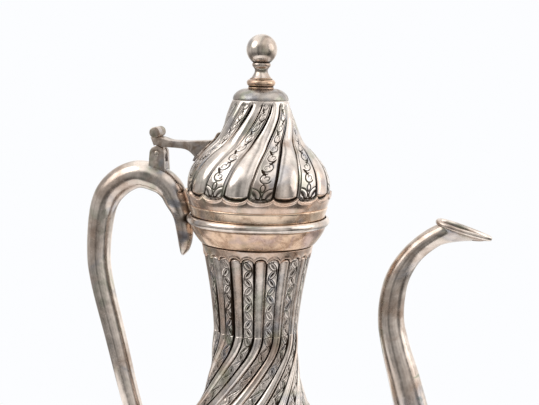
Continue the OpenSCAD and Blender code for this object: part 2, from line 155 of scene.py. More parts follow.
@dataclass
class Skin:
    """Points, faces and point attributes of a mesh while it is being put together.

    Args:
        points: Places in millimetres.
        quads: Corner numbers of four-sided faces.
        triangles: Corner numbers of three-sided faces.
        attributes: One value, or one vector, for each point by name.
    """

    points: np.ndarray
    quads: np.ndarray
    triangles: np.ndarray = field(default_factory=lambda: np.zeros((0, 3), int))
    attributes: dict[str, np.ndarray] = field(default_factory=dict)

    def mesh(self, name: str) -> bpy.types.Mesh:
        """Makes the Blender mesh, in metres.

        Args:
            name: Name of the new mesh.

        Returns:
            The mesh, smooth shaded.
        """
        made = bpy.data.meshes.new(name)
        corners = np.concatenate([self.quads.ravel(), self.triangles.ravel()]).astype(np.int32)
        sizes = np.concatenate([np.full(len(self.quads), 4), np.full(len(self.triangles), 3)])
        made.vertices.add(len(self.points))
        made.vertices.foreach_set("co", (self.points * MM).astype(np.float32).ravel())
        made.loops.add(len(corners))
        made.loops.foreach_set("vertex_index", corners)
        made.polygons.add(len(sizes))
        made.polygons.foreach_set("loop_start", np.concatenate([[0], np.cumsum(sizes)[:-1]]).astype(np.int32))
        made.update(calc_edges=True)
        made.polygons.foreach_set("use_smooth", np.ones(len(sizes), bool))
        for key, values in self.attributes.items():
            is_vector = values.ndim == 2
            kind = "FLOAT_VECTOR" if is_vector else "FLOAT"
            layer = made.attributes.new(key, kind, "POINT")
            layer.data.foreach_set("vector" if is_vector else "value", values.astype(np.float32).ravel())
        return made

    def object(self, name: str) -> bpy.types.Object:
        """Makes the mesh and puts an object with it in the scene."""
        return placed(name, self.mesh(name))


def grid_quads(rows: int, columns: int, wrap_rows: bool = False) -> np.ndarray:
    """Numbers the faces of a grid whose columns close into a ring.

    Args:
        rows: Number of rings.
        columns: Points in a ring.
        wrap_rows: Whether the last ring joins the first.

    Returns:
        Corner numbers, facing outwards where rings go up and columns run anticlockwise.
    """
    i, j = np.meshgrid(np.arange(rows if wrap_rows else rows - 1), np.arange(columns), indexing="ij")
    up, right = (i + 1) % rows, (j + 1) % columns
    quads = [i * columns + j, i * columns + right, up * columns + right, up * columns + j]
    return np.stack(quads, axis=-1).reshape(-1, 4)


def stitch(first: np.ndarray, second: np.ndarray) -> np.ndarray:
    """Joins two rings of points whose counts differ with a strip of triangles.

    Args:
        first: Point numbers of one ring, anticlockwise from the angle 0.
        second: Point numbers of the other ring, in the same way.

    Returns:
        Corner numbers, facing up where the first ring lies inside the second.
    """
    n, m = len(first), len(second)
    i, j, faces = 0, 0, []
    while i < n or j < m:
        if j >= m or (i < n and (i + 0.5) * m < (j + 0.5) * n):
            faces.append([first[i % n], second[j % m], first[(i + 1) % n]])
            i += 1
        else:
            faces.append([first[i % n], second[j % m], second[(j + 1) % m]])
            j += 1
    return np.array(faces)


def hollowness(outline: np.ndarray, reach: float) -> np.ndarray:
    """Finds how deep in an inside corner each point of a closed outline lies, where tarnish gathers and shade
    is painted.

    Args:
        outline: Points in the radius-height plane, anticlockwise.
        reach: How far from a corner the darkening goes, in millimetres.

    Returns:
        A value from 0 to 1 for each point.
    """
    before, after = outline - np.roll(outline, 1, 0), np.roll(outline, -1, 0) - outline
    cross = before[:, 0] * after[:, 1] - before[:, 1] * after[:, 0]
    turn = np.arctan2(cross, (before * after).sum(1))
    gap = np.linalg.norm(outline[:, None] - outline[None], axis=2)
    return np.clip((np.maximum(-turn, 0)[None] * np.exp(-((gap / reach) ** 2))).sum(1) * 0.9, 0, 1)


def refined(outline: list, step: float) -> np.ndarray:
    """Puts more points along the straight stretches of a closed outline, step millimetres apart."""
    points = np.array(outline, float)
    dense = []
    for a, b in zip(points, np.roll(points, -1, 0)):
        count = max(1, round(float(np.linalg.norm(b - a)) / step))
        dense += [a + (b - a) * i / count for i in range(count)]
    return np.array(dense)


def eased_corners(outline: np.ndarray, rounds: int = 2) -> np.ndarray:
    """Rounds the corners of a dense closed outline a little by averaging neighbours."""
    for _ in range(rounds):
        outline = (np.roll(outline, 1, 0) + 2 * outline + np.roll(outline, -1, 0)) / 4
    return outline


def around(profile: np.ndarray, angles: np.ndarray) -> np.ndarray:
    """Turns points [radius, height] around the pot's axis.

    Args:
        profile: The points, one to a row.
        angles: The angles of every row, or a row of angles for each point, in radians.

    Returns:
        Places by point and angle.
    """
    radius, height = profile[:, :1], profile[:, 1:]
    return np.stack([radius * np.cos(angles), radius * np.sin(angles), height + 0 * angles], -1)


def even_angles(columns: int) -> np.ndarray:
    """Gives angles around a full turn, evenly spaced from 0, in radians."""
    return np.arange(columns) * 2 * math.pi / columns


def turned(
    outline: list, columns: int = 144, step: float = 0.5, reach: float = 0.8, base: float = 0.0
) -> Skin:
    """Turns a closed outline around the pot's axis, as on a lathe.

    Args:
        outline: Points [radius, height], anticlockwise: up along the outside.
        columns: Points around.
        step: Spacing of the points along the outline.
        reach: How far the darkening, tarnish and painted shade, spreads from inside corners.
        base: Tarnish that covers the whole piece, from 0 to 1.

    Returns:
        The closed skin with its tarnish attribute, which also holds painted shade in inside corners.
    """
    dense = eased_corners(refined(outline, step))
    points = around(dense, even_angles(columns)).reshape(-1, 3)
    # Inside corners darken through the tarnish attribute: tarnish and painted shade.
    dirt_and_shade = np.maximum(np.repeat(hollowness(dense, reach), columns), base)
    return Skin(points, grid_quads(len(dense), columns, True), attributes={"tarnish": dirt_and_shade})


def spun(profile: list, columns: int, step: float, reach: float) -> Skin:
    """Turns an open profile that starts and ends on the axis, with one point at each pole.

    Args:
        profile: Points [radius, height], going up.
        columns: Points around.
        step: Spacing of the points along the profile.
        reach: How far the darkening, tarnish and painted shade, spreads from inside corners.

    Returns:
        The closed skin with its tarnish attribute, which also holds painted shade in inside corners.
    """
    dense = refined(profile, step)
    dense = dense[: len(dense) - np.argmax(dense[::-1, 0] > 0) + 1]
    off_axis = dense[:, 0] > 1e-6
    # Inside corners darken through the tarnish attribute: tarnish and painted shade.
    inner, dirt_and_shade = dense[off_axis], hollowness(dense, reach)[off_axis]
    rings = around(inner, even_angles(columns))
    low, high = [0, 0, profile[0][1]], [0, 0, profile[-1][1]]
    count = len(inner) * columns
    ring, last = np.arange(columns), count - columns + np.arange(columns)
    bottom = np.stack([np.full(columns, count), np.roll(ring, -1), ring], 1)
    top = np.stack([last, np.roll(last, -1), np.full(columns, count + 1)], 1)
    return Skin(
        np.vstack([rings.reshape(-1, 3), [low, high]]),
        grid_quads(len(inner), columns),
        np.vstack([bottom, top]),
        {"tarnish": np.concatenate([np.repeat(dirt_and_shade, columns), [0.3, 0.0]])},
    )


# ---------------------------------------------------------------- node trees


def add_node(tree: bpy.types.NodeTree, kind: str, links: dict | None = None, inputs: dict | None = None,
             **settings: object) -> bpy.types.Node:
    """Adds a node, sets it up and links its inputs.

    Args:
        tree: The tree that gets the node.
        kind: The node's type name.
        links: Output sockets by the name or number of the input that they go to.
        inputs: Values by the name or number of the input.
        settings: Properties of the node.

    Returns:
        The new node.
    """
    made = tree.nodes.new(kind)
    for key, value in settings.items():
        setattr(made, key, value)
    for key, value in (inputs or {}).items():
        made.inputs[key].default_value = value
    for key, socket in (links or {}).items():
        tree.links.new(socket, made.inputs[key])
    return made


def mapped(tree: bpy.types.NodeTree, value: bpy.types.NodeSocket, span: tuple, to: tuple = (0.0, 1.0),
           smooth: bool = True) -> bpy.types.NodeSocket:
    """Adds a node that maps the span's two values to the two values of to."""
    inputs = {"From Min": span[0], "From Max": span[1], "To Min": to[0], "To Max": to[1]}
    kind = "SMOOTHSTEP" if smooth else "LINEAR"
    return add_node(tree, "ShaderNodeMapRange", {"Value": value}, inputs, interpolation_type=kind).outputs[0]


def new_tree(name: str, floats: dict[str, float], whole: dict[str, int] | None = None) -> bpy.types.NodeTree:
    """Starts a geometry tree with a geometry input, a material input and named number inputs.

    Args:
        name: The tree's name.
        floats: Default of each decimal input by name.
        whole: Default of each whole-number input by name.

    Returns:
        The tree with its interface and no nodes.
    """
    tree = bpy.data.node_groups.new(name, "GeometryNodeTree")
    tree.interface.new_socket("Geometry", in_out="INPUT", socket_type="NodeSocketGeometry")
    tree.interface.new_socket("Material", in_out="INPUT", socket_type="NodeSocketMaterial")
    for kind, defaults in (("NodeSocketFloat", floats), ("NodeSocketInt", whole or {})):
        for key, value in defaults.items():
            tree.interface.new_socket(key, in_out="INPUT", socket_type=kind).default_value = value
    tree.interface.new_socket("Geometry", in_out="OUTPUT", socket_type="NodeSocketGeometry")
    return tree


def close_tree(tree: bpy.types.NodeTree, source: bpy.types.Node, geometry: bpy.types.NodeSocket) -> None:
    """Ends a geometry tree with Realize Instances and Set Material."""
    real = add_node(tree, "GeometryNodeRealizeInstances", {"Geometry": geometry})
    dressed = add_node(
        tree, "GeometryNodeSetMaterial", {"Geometry": real.outputs[0], "Material": source.outputs["Material"]}
    )
    add_node(tree, "NodeGroupOutput", {"Geometry": dressed.outputs[0]})


def grown(base: bpy.types.Object, tree: bpy.types.NodeTree, values: dict[str, object]) -> bpy.types.Object:
    """Runs a geometry tree on an object and keeps the result as a plain mesh.

    Args:
        base: The object that carries the starting mesh.
        tree: The geometry tree.
        values: Values of the tree's inputs by name.

    Returns:
        The same object with its final mesh and no modifier.
    """
    modifier = base.modifiers.new(tree.name, "NODES")
    modifier.node_group = tree
    for item in tree.interface.items_tree:
        if item.item_type == "SOCKET" and item.in_out == "INPUT" and item.name in values:
            modifier[item.identifier] = values[item.name]
    graph = bpy.context.evaluated_depsgraph_get()
    final = bpy.data.meshes.new_from_object(base.evaluated_get(graph), depsgraph=graph)
    base.modifiers.clear()
    old, base.data = base.data, final
    bpy.data.meshes.remove(old)
    final.name = base.name
    return base


def chased_tree() -> bpy.types.NodeTree:
    """Builds the tree that raises flutes and cuts engraving into a smooth shell.

    Returns:
        A tree that moves each point along its "out" attribute by its "hollow" and "cut" attributes.
    """
    tree = new_tree("Chased shell", {"Flute depth": 1.2, "Cut depth": 0.3, "Lip height": 0.3})
    source = add_node(tree, "NodeGroupInput")
    moved = None
    moves = (("hollow", "Flute depth", -MM), ("cut", "Cut depth", -MM), ("lip", "Lip height", MM))
    for key, size, sign in moves:
        share = add_node(tree, "GeometryNodeInputNamedAttribute", inputs={"Name": key}, data_type="FLOAT")
        amount = add_node(
            tree, "ShaderNodeMath", {0: share.outputs[0], 1: source.outputs[size]}, operation="MULTIPLY"
        )
        metres = add_node(tree, "ShaderNodeMath", {0: amount.outputs[0]}, {1: sign}, operation="MULTIPLY")
        moved = metres if moved is None else add_node(
            tree, "ShaderNodeMath", {0: moved.outputs[0], 1: metres.outputs[0]}, operation="ADD"
        )
    out = add_node(tree, "GeometryNodeInputNamedAttribute", inputs={"Name": "out"}, data_type="FLOAT_VECTOR")
    offset = add_node(
        tree, "ShaderNodeVectorMath", {0: out.outputs[0], "Scale": moved.outputs[0]}, operation="SCALE"
    )
    shifted = add_node(
        tree, "GeometryNodeSetPosition", {"Geometry": source.outputs["Geometry"], "Offset": offset.outputs[0]}
    )
    close_tree(tree, source, shifted.outputs[0])
    return tree


def tube_tree() -> bpy.types.NodeTree:
    """Builds the tree that sweeps a round section along a line of edges.

    Returns:
        A tree that makes a tube as thick as the line's "radius" attribute, less "Inset".
    """
    tree = new_tree("Drawn tube", {"Spacing": 0.8, "Inset": 0.0}, {"Sides": 48})
    source = add_node(tree, "NodeGroupInput")
    line = add_node(tree, "GeometryNodeMeshToCurve", {0: source.outputs["Geometry"]})
    spacing = add_node(tree, "ShaderNodeMath", {0: source.outputs["Spacing"]}, {1: MM}, operation="MULTIPLY")
    even = add_node(
        tree, "GeometryNodeResampleCurve", {"Curve": line.outputs[0], "Length": spacing.outputs[0]},
        mode="LENGTH",
    )
    radius = add_node(tree, "GeometryNodeInputNamedAttribute", inputs={"Name": "radius"}, data_type="FLOAT")
    inner = add_node(
        tree, "ShaderNodeMath", {0: radius.outputs[0], 1: source.outputs["Inset"]}, operation="SUBTRACT"
    )
    scale = add_node(tree, "ShaderNodeMath", {0: inner.outputs[0]}, {1: MM}, operation="MULTIPLY")
    ring = add_node(
        tree, "GeometryNodeCurvePrimitiveCircle", {"Resolution": source.outputs["Sides"]}, {"Radius": 1.0}
    )
    tube = add_node(
        tree,
        "GeometryNodeCurveToMesh",
        {"Curve": even.outputs[0], "Profile Curve": ring.outputs[0], "Scale": scale.outputs[0]},
    )
    smooth = add_node(tree, "GeometryNodeSetShadeSmooth", {"Geometry": tube.outputs[0]})
    close_tree(tree, source, smooth.outputs[0])
    return tree


# ---------------------------------------------------------------- finishes


class Slot(Enum):
    """The record's material slots."""

    SILVER = "silver_plate"
    GILT = "gilt_band"
    BRASS = "bare_brass"
    PIN = "pin_metal"


@dataclass(frozen=True)
class PlatedMetal:
    """Silver-plated brass, spun or drawn, polished on the crests and tarnished where a cloth can't reach.

    The eye gets bright, slightly warm metal with soft brown clouds, dark brown-black hollows, which are
    tarnish and painted shade, with a faint blue and green film around them, and a gloss that dulls where the
    tarnish and the painted shade are.

    Args:
        name: The material's name.
        slot: The record's slot; not used.
        bright: Colour of the polished plate.
        clouded: Colour under the thin, even tarnish.
        patina: Colour of the thick tarnish in hollows, also laid on as painted shade.
        warm: Colour under the straw-gold tarnish, which the "warm" attribute lays on.
        film: Colours of the thin film around the hollows.
        cloud: Share of the surface that the thin tarnish covers.
        gloss: Roughness of the polished plate.
        dull: Roughness of the thick tarnish.
        grain: Depth of the fine polishing marks, in millimetres.
        cloud_size: Width of the tarnish clouds, in millimetres.
    """

    name: str
    slot: Slot
    bright: str = "#e9dfd7"
    clouded: str = "#b39c8d"
    patina: str = "#33281f"
    warm: str = "#dcbfab"
    film: tuple[str, str] = ("#8794a8", "#8b9a80")
    cloud: float = 0.5
    gloss: float = 0.14
    dull: float = 0.55
    grain: float = 0.02
    cloud_size: float = 26.0

    def build(self) -> bpy.types.Material:
        """Builds the node material.

        Returns:
            The material, which reads Object coordinates and the piece's "tarnish" and "warm" attributes.
            The "tarnish" attribute holds painted shade as well as tarnish.
        """
        material = bpy.data.materials.new(self.name)
        material.use_nodes = True
        tree = material.node_tree
        tree.nodes.clear()
        place = add_node(tree, "ShaderNodeTexCoord").outputs["Object"]
        hollow = add_node(tree, "ShaderNodeAttribute", attribute_name="tarnish").outputs["Fac"]
        golden = add_node(tree, "ShaderNodeAttribute", attribute_name="warm").outputs["Fac"]

        def noise(
            size: float, detail: float, rough: float = 0.55, distort: float = 0.0
        ) -> bpy.types.NodeSocket:
            """Adds a noise whose blotches are about size millimetres wide."""
            inputs = {"Scale": 1 / (size * MM), "Detail": detail, "Roughness": rough, "Distortion": distort}
            return add_node(tree, "ShaderNodeTexNoise", {"Vector": place}, inputs).outputs[0]

        def ramp(
            value: bpy.types.NodeSocket, low: float, high: float, to: tuple = (0.0, 1.0)
        ) -> bpy.types.NodeSocket:
            """Maps low..high smoothly to the two values of to."""
            return mapped(tree, value, (low, high), to)

        def math_node(kind: str, a: bpy.types.NodeSocket, b: object) -> bpy.types.NodeSocket:
            """Adds a math node of a socket with a socket or a number."""
            is_socket = isinstance(b, bpy.types.NodeSocket)
            return add_node(
                tree, "ShaderNodeMath", {0: a, **({1: b} if is_socket else {})},
                {} if is_socket else {1: b}, operation=kind, use_clamp=kind in ("ADD", "MULTIPLY"),
            ).outputs[0]

        def mix(fac: bpy.types.NodeSocket, a: object, b: object, blend: str = "MIX") -> bpy.types.NodeSocket:
            """Mixes two colours, each a socket or a hex code."""
            links, inputs = {0: fac}, {}
            for index, colour in ((6, a), (7, b)):
                if isinstance(colour, str):
                    inputs[index] = linear(colour)
                else:
                    links[index] = colour
            return add_node(
                tree, "ShaderNodeMix", links, inputs, data_type="RGBA", blend_type=blend
            ).outputs[2]

        clouds = noise(self.cloud_size, 4.0, 0.6, 0.6)
        mottle = noise(5.0, 5.0, 0.65)
        speck = noise(0.9, 3.0, 0.7)
        thin = math_node("MULTIPLY", ramp(clouds, 0.62 - 0.3 * self.cloud, 0.78 - 0.2 * self.cloud), 0.9)
        straw = math_node("MULTIPLY", golden, ramp(noise(7.0, 4.0, 0.6, 0.8), 0.32, 0.6, (0.45, 1.0)))
        plate = mix(straw, mix(thin, self.bright, self.clouded), self.warm)
        tint = math_node("MULTIPLY", ramp(noise(19.0, 3.0, 0.6, 1.0), 0.5, 0.68), 0.4)
        plate = mix(tint, plate, mix(ramp(noise(23.0, 1.0), 0.45, 0.55), self.film[0], self.film[1]))
        shade = ramp(mottle, 0.3, 0.7, (0.78, 1.06))
        tone = add_node(
            tree, "ShaderNodeVectorMath", {0: plate, "Scale": shade}, operation="SCALE"
        ).outputs[0]
        edge = math_node("ADD", hollow, math_node("MULTIPLY", math_node("SUBTRACT", mottle, 0.5), 0.7))
        film_pick = ramp(noise(9.0, 2.0), 0.42, 0.58)
        film = mix(film_pick, self.film[0], self.film[1])
        ring = math_node("MULTIPLY", ramp(edge, 0.12, 0.34), ramp(noise(14.0, 2.0), 0.48, 0.62, (0.0, 0.55)))
        filmed = mix(ring, tone, film)
        # The tarnish attribute, broken up by mottling, lays on the patina colour: tarnish in hollows and
        # painted shade in corners, valleys, joints and undersides.
        dirt_and_shade = ramp(edge, 0.25, 0.72)
        stained = mix(dirt_and_shade, filmed, self.patina)
        pits = ramp(speck, 0.7, 0.78, (0.0, 0.5))
        coloured = mix(pits, stained, self.patina)
        rough_base = ramp(mottle, 0.3, 0.75, (self.gloss, self.gloss + 0.1))
        rough_cloud = math_node("ADD", rough_base, math_node("MULTIPLY", thin, 0.12))
        rough = add_node(
            tree, "ShaderNodeMix", {0: dirt_and_shade, 2: rough_cloud}, {3: self.dull}, data_type="FLOAT"
        ).outputs[0]
        marks = add_node(
            tree, "ShaderNodeMapping", {"Vector": place}, {"Scale": (1.0, 1.0, 0.12)}, vector_type="POINT"
        ).outputs[0]
        scratch = add_node(
            tree, "ShaderNodeTexNoise", {"Vector": marks},
            {"Scale": 1 / (0.8 * MM), "Detail": 3.0, "Roughness": 0.6},
        ).outputs[0]
        halves = (math_node("MULTIPLY", scratch, 0.5), math_node("MULTIPLY", noise(2.4, 3.0), 0.5))
        relief = math_node("ADD", *halves)
        bump = add_node(
            tree, "ShaderNodeBump", {"Height": relief}, {"Strength": 0.35, "Distance": self.grain * MM * 4}
        ).outputs[0]
        shader = add_node(
            tree, "ShaderNodeBsdfPrincipled",
            {"Base Color": coloured, "Roughness": rough, "Normal": bump}, {"Metallic": 1.0},
        )
        add_node(tree, "ShaderNodeOutputMaterial", {"Surface": shader.outputs[0]})
        return material


@dataclass
class Finishes:
    """The pot's finishes, each made once."""

    made: dict[str, bpy.types.Material] = field(default_factory=dict)

    def get(self, finish: PlatedMetal) -> bpy.types.Material:
        """Gives the finish's material, made at its first use."""
        if finish.name not in self.made:
            self.made[finish.name] = finish.build()
        return self.made[finish.name]


SPUN_SILVER = PlatedMetal("Silver-plated brass, spun and chased", Slot.SILVER)
BURNISHED_SILVER = PlatedMetal(
    "Silver-plated brass, drawn and burnished", Slot.SILVER, bright="#e6dad0", clouded="#ab9484", cloud=0.6,
    gloss=0.13, cloud_size=30.0,
)
CAST_SILVER = PlatedMetal(
    "Silver-plated brass, cast and filed", Slot.SILVER, bright="#d3c6bb", clouded="#968374", cloud=0.8,
    gloss=0.28, grain=0.09, cloud_size=4.5,
)
GILT_SILVER = PlatedMetal(
    "Silver-plated brass, straw-gold tarnish", Slot.GILT, bright="#e3c5ab", clouded="#b3937c", cloud=0.6,
    gloss=0.16, cloud_size=6.0, film=("#a896a4", "#ab9a78"),
)
WIPED_GILT = PlatedMetal(
    "Silver-plated brass, straw-gold tarnish wiped thin", Slot.GILT, bright="#f3dac2", clouded="#cdad93",
    cloud=0.5, gloss=0.16, cloud_size=6.0, film=("#b9a7b4", "#bcab8a"),
)
TURNED_BRASS = PlatedMetal(
    "Bare brass, turned", Slot.BRASS, bright="#d9b879", clouded="#a2793f", patina="#3b2814", cloud=0.5,
    gloss=0.28, cloud_size=6.0,
)
WIRE_PIN = PlatedMetal(
    "Silvered brass wire, peened", Slot.PIN, bright="#cfc4b9", clouded="#93806f", cloud=0.6, gloss=0.24,
    cloud_size=5.0,
)


# ---------------------------------------------------------------- engraved ornament


def leaf_distance(x: np.ndarray, y: np.ndarray, length: float, width: float, turn: float) -> np.ndarray:
    """Measures how far points lie from the edge of a pointed leaf.

    Args:
        x: Places across the flute from the leaf's middle.
        y: Places along the flute from the leaf's middle.
        length: Length of the leaf.
        width: Width of the leaf.
        turn: Turn of the leaf away from the flute's run, in degrees.

    Returns:
        The distances, below 0 inside the leaf.
    """
    c, s = math.cos(math.radians(turn)), math.sin(math.radians(turn))
    along, across = x * s + y * c, x * c - y * s
    half, thin = length / 2, width / 2
    radius = (half**2 + thin**2) / (2 * thin)
    return np.hypot(along, np.abs(across) + radius - thin) - radius


def line(distance: np.ndarray, width: float) -> np.ndarray:
    """Gives the depth share of a graver's line, 1 where the distance is 0."""
    return np.clip(1.25 * (1 - np.abs(distance) / width), 0, 1)


def leaf_row(u: np.ndarray, s: np.ndarray, half: np.ndarray) -> np.ndarray:
    """Engraves slanted leaves that lean left and right in turn along a flute.

    Args:
        u: Places across the flute, from its middle.
        s: Places along the flute.
        half: Half the flute's width there.

    Returns:
        Depth share of the cuts.
    """
    pitch = 4.3
    scale = np.clip(half / 2.7, 0.75, 1.6)
    nearest = np.floor(s / pitch)
    cut = np.zeros_like(u)
    for step in (-1, 0, 1):
        index = nearest + step
        lean = np.where(index % 2 == 0, 1.0, -1.0)
        x, y = u * lean / scale + 0.1, s - (index + 0.5) * pitch
        edge = leaf_distance(x, y, 6.3, 2.5, 33)
        core = leaf_distance(x - 0.2, y + 0.1, 4.0, 1.0, 33)
        cut = np.maximum(cut, 0.9 * line(edge, 0.38))
        cut = np.maximum(cut, np.clip(0.5 - core / 0.3, 0, 1) * np.where(index % 3 == 0, 0.7, 1.0))
    return cut


def scroll_row(u: np.ndarray, s: np.ndarray, half: np.ndarray) -> np.ndarray:
    """Engraves a chain of C scrolls above a two-leaved palmette at the flute's foot.

    Args:
        u: Places across the flute, from its middle.
        s: Places along the flute, from its foot.
        half: Half the flute's width there.

    Returns:
        Depth share of the cuts.
    """
    scale = np.clip(half / 4.2, 0.5, 1.4)
    x = u / scale
    pitch, start, tall = 6.2, 8.9, 1.24
    index = np.floor((s - start) / pitch)
    cut = np.zeros_like(u)
    for step in (-1, 0, 1):
        k = index + step
        side = np.where(k % 2 == 0, 1.0, -1.0)
        dx, dy = x * side - 0.35 + 0.3 * np.sin(k * 2.4), (s - start - (k + 0.5) * pitch) / tall
        bowl = np.hypot(dx, dy)
        gap = np.arctan2(dy, dx)
        open_ring = line(bowl - 2.05, 0.42) * (np.abs(gap - 0.5) > 1.0)
        curl = line(np.hypot(dx - 0.2, dy + 0.1) - 0.9, 0.32) * (gap > -1.2)
        tail = np.clip(0.5 - leaf_distance(dx + 1.5, dy - 2.5, 4.4, 1.0, -38) / 0.3, 0, 1)
        cut = np.maximum(cut, np.where(k >= 0, np.maximum(np.maximum(open_ring, 0.9 * curl), tail), 0))
    for side in (-1, 1):
        petal = leaf_distance(x * side - 2.5, s - 4.0, 6.8, 3.9, 30)
        vein = leaf_distance(x * side - 2.5, s - 3.7, 4.4, 1.3, 30)
        cut = np.maximum(cut, np.maximum(line(petal, 0.45), np.clip(0.5 - vein / 0.35, 0, 0.75)))
        outer = leaf_distance(x * side - 4.9, s - 4.6, 5.6, 1.3, 10)
        cut = np.maximum(cut, np.clip(0.5 - outer / 0.3, 0, 1))
        foot = leaf_distance(x * side - 1.0, s - 1.6, 3.0, 1.0, 62)
        cut = np.maximum(cut, np.clip(0.5 - foot / 0.3, 0, 1))
    bud = leaf_distance(x, s - 6.9, 4.0, 1.7, 0)
    return np.maximum(cut, line(bud, 0.42))


class Ornament(Enum):
    """What is engraved on every second flute."""

    LEAVES = "leaves"
    SCROLLS = "scrolls"
    NONE = "none"

    def cut(self, u: np.ndarray, s: np.ndarray, half: np.ndarray) -> np.ndarray:
        """Gives the depth share of this ornament's cuts at places across and along a flute."""
        if self is Ornament.LEAVES:
            return leaf_row(u, s, half)
        if self is Ornament.SCROLLS:
            return scroll_row(u, s, half)
        return np.zeros_like(u)


class FluteEnd(Enum):
    """How the flutes stop at one edge of a shell."""

    RUN_OUT = "run out"
    ROUND_POCKET = "round pocket"
    FADE = "fade"


# ---------------------------------------------------------------- fluted shells


